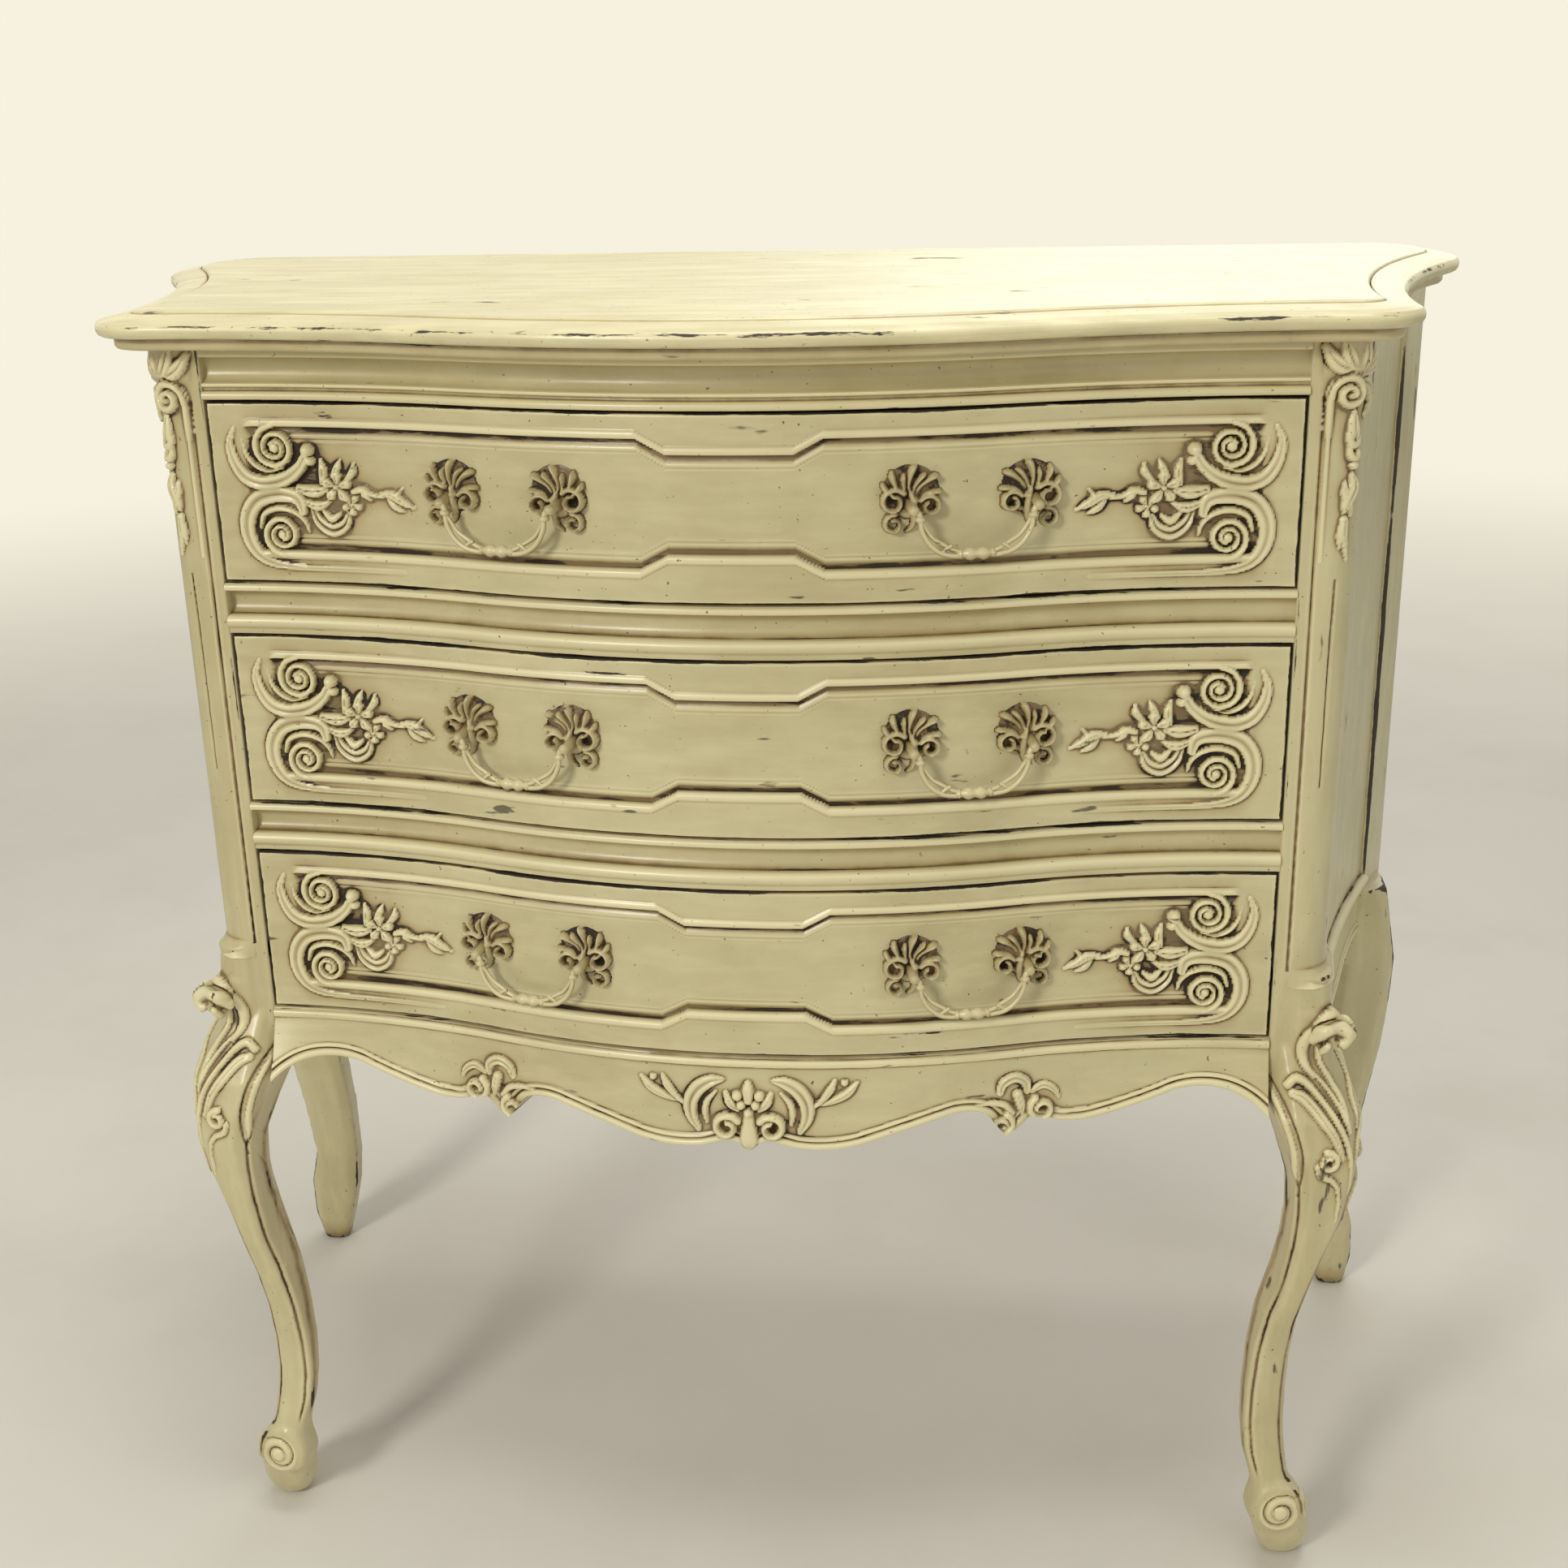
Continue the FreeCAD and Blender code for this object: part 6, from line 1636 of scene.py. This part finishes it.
def make_pull(level, side_name):
    """Pair of rosettes with the necks that carry the pins, and the bail between them."""
    place = PullFrame(level, side_name)
    plates = []
    for end in (-1, 1):
        post = place.place([[end * PLATE_SPAN / MM, -BOSS_REACH / MM, 0]])[0]
        name = "rosette_" + level + "_" + side_name + ("_low", "_high")[end > 0]
        plates.append(make_rosette(name, level, post[0], post[2], -end))
        path = [[end * along, out, up] for along, out, up, _ in NECK]
        rings = place.place(tube_out(path, [radius for *_, radius in NECK]))
        # The neck is painted darker towards the rosette, as painted shade where it goes in under the
        # plate.
        dark = np.clip([-0.1 - 0.07 * out for _, out, *_ in NECK], 0, 0.8)
        dark = np.repeat(dark, rings.shape[1])
        neck = make_piece(name.replace("rosette", "knuckle"), rings, loft(rings),
                          "drawer_" + level, material("cream_cast"), dark, None, NECK_SHARP)
        plates.append(neck)
    for plate in plates:
        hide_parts("pull_plates_" + level + "_" + side_name)
    tubes = []
    for end in (-1, 1):
        tubes.append(rod(end, *HOOK))
        tubes.append(along_path([end * 32.8, 0, -5.0], [end * 0.12, 0, -1], COLLAR))
        tubes += [rod(end, *strand) for strand in STRANDS]
    tubes.append(along_path([0, 0, -26.2], [1, 0, 0], BUD))
    points, faces = joined(tubes)
    world = place.place(points)
    # Painted light on the bail: rod faces turned down or back towards the drawer are painted dark, and
    # faces turned up and out get a painted highlight.
    middles = np.vstack([np.repeat(rings.mean(1), rings.shape[1], axis=0) for rings in tubes])
    facing = points - middles
    facing /= np.linalg.norm(facing, axis=1)[:, None] + 1e-9
    dark = np.clip(0.38 - 0.85 * facing[:, 1] - 0.85 * facing[:, 2], -1, 1)
    bail = make_piece("bail_rod_" + level + "_" + side_name, world, faces, place.body,
                      material("cream_cast"), dark)
    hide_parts(place.body)


def tube_out(path, radii, sides=20):
    """Rings of a turned boss that stands out from the drawer."""
    angle = np.linspace(0, 2 * math.pi, sides, endpoint=False)[:, None]
    flat = np.hstack([-np.cos(angle), 0 * angle, np.sin(angle)])
    return np.array([np.array(point) + radius * flat for point, radius in zip(path, radii)])


def along_path(middle, direction, profile):
    """Rings of a turned bead along a direction."""
    direction = np.array(direction, float) / np.linalg.norm(direction)
    path = [np.array(middle) + direction * place for place, _ in profile]
    return tube(path, [radius for _, radius in profile], 16)


class COMMODE_OT_pulls(bpy.types.Operator):
    """Six cast pulls: rosettes, necks and swinging bails"""

    bl_idname = "commode.pulls"
    bl_label = "Cast pulls"

    def execute(self, context):
        for level in LEVELS:
            for side_name, _ in SIDES:
                make_pull(level, side_name)
        return {"FINISHED"}


# Inside pieces: the solids with plain timber on them

EASED_EDGE = 0.5 * MM


class COMMODE_OT_inside(bpy.types.Operator):
    """Drawer boxes, runners, back and nuts in plain timber and steel"""

    bl_idname = "commode.inside"
    bl_label = "Inside and back"

    def execute(self, context):
        finishes = {"drawer_": "timber_deep", "runner_": "timber_deep", "kickers": "timber_deep",
                    "back_panel": "timber_back", "back_rail": "timber_long",
                    "bottom_rail": "timber_long",
                    "drawer_stops": "timber_long", "pull_nuts": "dull_steel"}
        for node, piece in frame["nodes"].items():
            starts = [start for start in finishes if node.startswith(start)]
            if not starts or node.endswith("_front"):
                continue
            finish = finishes[starts[0]]
            if node.endswith("_back"):
                finish = "timber_long"
            for slot in piece.material_slots:
                slot.link = "OBJECT"
                slot.material = material(finish)
            soft = piece.modifiers.new("eased_edges", "BEVEL")
            soft.width = EASED_EDGE
            soft.segments = 2
            soft.limit_method = "ANGLE"
        return {"FINISHED"}


# Stage

CAMERA_PLACE = (0.1698, -1.31127, 0.97948)
CAMERA_PAN = 0.125
CAMERA_TILT = 0.341
CAMERA_ROLL = -0.024
FOCAL_PIXELS = 2500.9
PHOTO_PIXELS = 1932
SENSOR = 36.0

# Lamps: name, place, size, power and colour
LAMPS = (("key_lamp", (-1.3, -2.6, 2.0), 0.7, 41, (1.0, 0.97, 0.91)),
         ("fill_lamp", (2.4, -1.7, 1.3), 2.0, 9, (1.0, 0.97, 0.92)),
         ("ceiling_lamp", (0.1, -0.1, 2.7), 1.6, 31, (1.0, 0.98, 0.93)),
         ("back_lamp", (0.6, 2.4, 1.8), 2.0, 10, (1.0, 0.98, 0.95)))
LAMP_TARGET = (0, 0, 0.45)
FLOOR_RINGS = (7.0, 4, 2, 1, 0.4)
FLOOR_SIDES = 96


def make_lamp(name, place, size, power, colour):
    """Round soft lamp that points at the middle of the piece."""
    lamp = bpy.data.lights.new(name, "AREA")
    lamp.shape = "DISK"
    lamp.size = size
    lamp.energy = power
    lamp.color = colour
    holder = bpy.data.objects.new(name, lamp)
    holder.location = place
    ahead = Vector(LAMP_TARGET) - Vector(place)
    holder.rotation_euler = ahead.to_track_quat("-Z", "Y").to_euler()
    bpy.context.scene.collection.objects.link(holder)


def make_camera():
    """Camera at the place that the photograph was taken from."""
    pan, tilt, roll = CAMERA_PAN, CAMERA_TILT, CAMERA_ROLL
    ahead = Vector((-math.sin(pan) * math.cos(tilt), math.cos(pan) * math.cos(tilt),
                    -math.sin(tilt)))
    right = Vector((math.cos(pan), math.sin(pan), 0))
    up = right.cross(ahead)
    across = math.cos(roll) * right + math.sin(roll) * up
    upward = -math.sin(roll) * right + math.cos(roll) * up
    lens = bpy.data.cameras.new("photo_camera")
    lens.sensor_width = SENSOR
    lens.lens = FOCAL_PIXELS / PHOTO_PIXELS * SENSOR
    camera = bpy.data.objects.new("photo_camera", lens)
    turn = Matrix((across, upward, -ahead)).transposed().to_4x4()
    camera.matrix_world = Matrix.Translation(CAMERA_PLACE) @ turn
    bpy.context.scene.collection.objects.link(camera)
    bpy.context.scene.camera = camera


BACKDROP = (0.93, 0.885, 0.735)
SKY = (1.0, 0.96, 0.88)
SKY_STRENGTH = 0.28
FLOOR_PALE = (0.80, 0.775, 0.71)
FLOOR_STAIN = (0.71, 0.68, 0.60)
FADE_START, FADE_END = 1.3, 4.2


def floor_material():
    """Pale floor with faint cloudy stains, which fades into the backdrop far from the piece."""
    s = Shader(bpy.data.materials.new("pale_floor"))
    where = s.place()
    cloud = s.noise(where, *FLOOR_CLOUD)
    colour = s.mix(cloud.step(0.4, 0.7) * 0.5, FLOOR_PALE, FLOOR_STAIN)
    near = s.surface(base_color=colour, roughness=0.55 + 0.2 * cloud,
                     normal=s.bump(cloud, MM, 0.1))
    far = s.node("ShaderNodeEmission", {}, {"Color": (*BACKDROP, 1)})
    away = s.node("ShaderNodeVectorMath", {"operation": "LENGTH"}, {0: where}, output=1)
    seen = s.node("ShaderNodeLightPath", output="Is Camera Ray")
    return s.end(s.node("ShaderNodeMixShader", {}, {0: away.step(FADE_START, FADE_END) * seen,
                                                    1: near, 2: far}))


def make_world():
    """Soft even sky, which shows as a pale wall behind the piece."""
    s = Shader(bpy.data.worlds.new("soft_room"), "ShaderNodeOutputWorld")
    seen = s.node("ShaderNodeLightPath", output="Is Camera Ray")
    seen = seen.maths("MAXIMUM", s.node("ShaderNodeLightPath", output="Is Glossy Ray"))
    light = s.node("ShaderNodeBackground", {}, {"Color": (*SKY, 1), "Strength": SKY_STRENGTH})
    wall = s.node("ShaderNodeBackground", {}, {"Color": (*BACKDROP, 1)})
    bpy.context.scene.world = s.end(s.node("ShaderNodeMixShader", {}, {0: seen, 1: light, 2: wall}))


class COMMODE_OT_stage(bpy.types.Operator):
    """Pale floor, soft lamps and the camera"""

    bl_idname = "commode.stage"
    bl_label = "Floor, lamps and camera"

    def execute(self, context):
        angle = np.linspace(0, 2 * math.pi, FLOOR_SIDES, endpoint=False)
        points = np.array([np.stack([reach * np.cos(angle), reach * np.sin(angle), 0 * angle], -1)
                           for reach in FLOOR_RINGS])
        mesh = bpy.data.meshes.new("floor")
        mesh.from_pydata(points.reshape(-1, 3).tolist(), [], loft(points, cap_start=False))
        mesh.materials.append(floor_material())
        floor = bpy.data.objects.new("floor", mesh)
        context.scene.collection.objects.link(floor)
        for lamp in LAMPS:
            make_lamp(*lamp)
        make_camera()
        make_world()
        context.scene.view_settings.view_transform = "Standard"
        return {"FINISHED"}


class COMMODE_PT_panel(bpy.types.Panel):
    """Buttons that build each group of pieces"""

    bl_idname = "COMMODE_PT_panel"
    bl_label = "Commode"
    bl_space_type = "VIEW_3D"
    bl_region_type = "UI"
    bl_category = "Commode"

    def draw(self, context):
        for operator in OPERATORS:
            self.layout.operator(operator.bl_idname)
        for group in (context.scene.commode_shape, context.scene.commode_paint):
            for name in group.__annotations__:
                self.layout.prop(group, name)


OPERATORS = (COMMODE_OT_top, COMMODE_OT_legs, COMMODE_OT_sides, COMMODE_OT_rails, COMMODE_OT_apron,
             COMMODE_OT_drawer_fronts, COMMODE_OT_pulls, COMMODE_OT_inside, COMMODE_OT_stage)


def register():
    for kind in (CommodeShape, CommodePaint, *OPERATORS, COMMODE_PT_panel):
        bpy.utils.register_class(kind)
    bpy.types.Scene.commode_shape = bpy.props.PointerProperty(type=CommodeShape)
    bpy.types.Scene.commode_paint = bpy.props.PointerProperty(type=CommodePaint)


def unregister():
    del bpy.types.Scene.commode_shape
    del bpy.types.Scene.commode_paint
    for kind in (COMMODE_PT_panel, *reversed(OPERATORS), CommodePaint, CommodeShape):
        bpy.utils.unregister_class(kind)


def main():
    register()
    for operator in OPERATORS:
        group, name = operator.bl_idname.split(".")
        getattr(getattr(bpy.ops, group), name)()


if __name__ == "__main__":
    main()
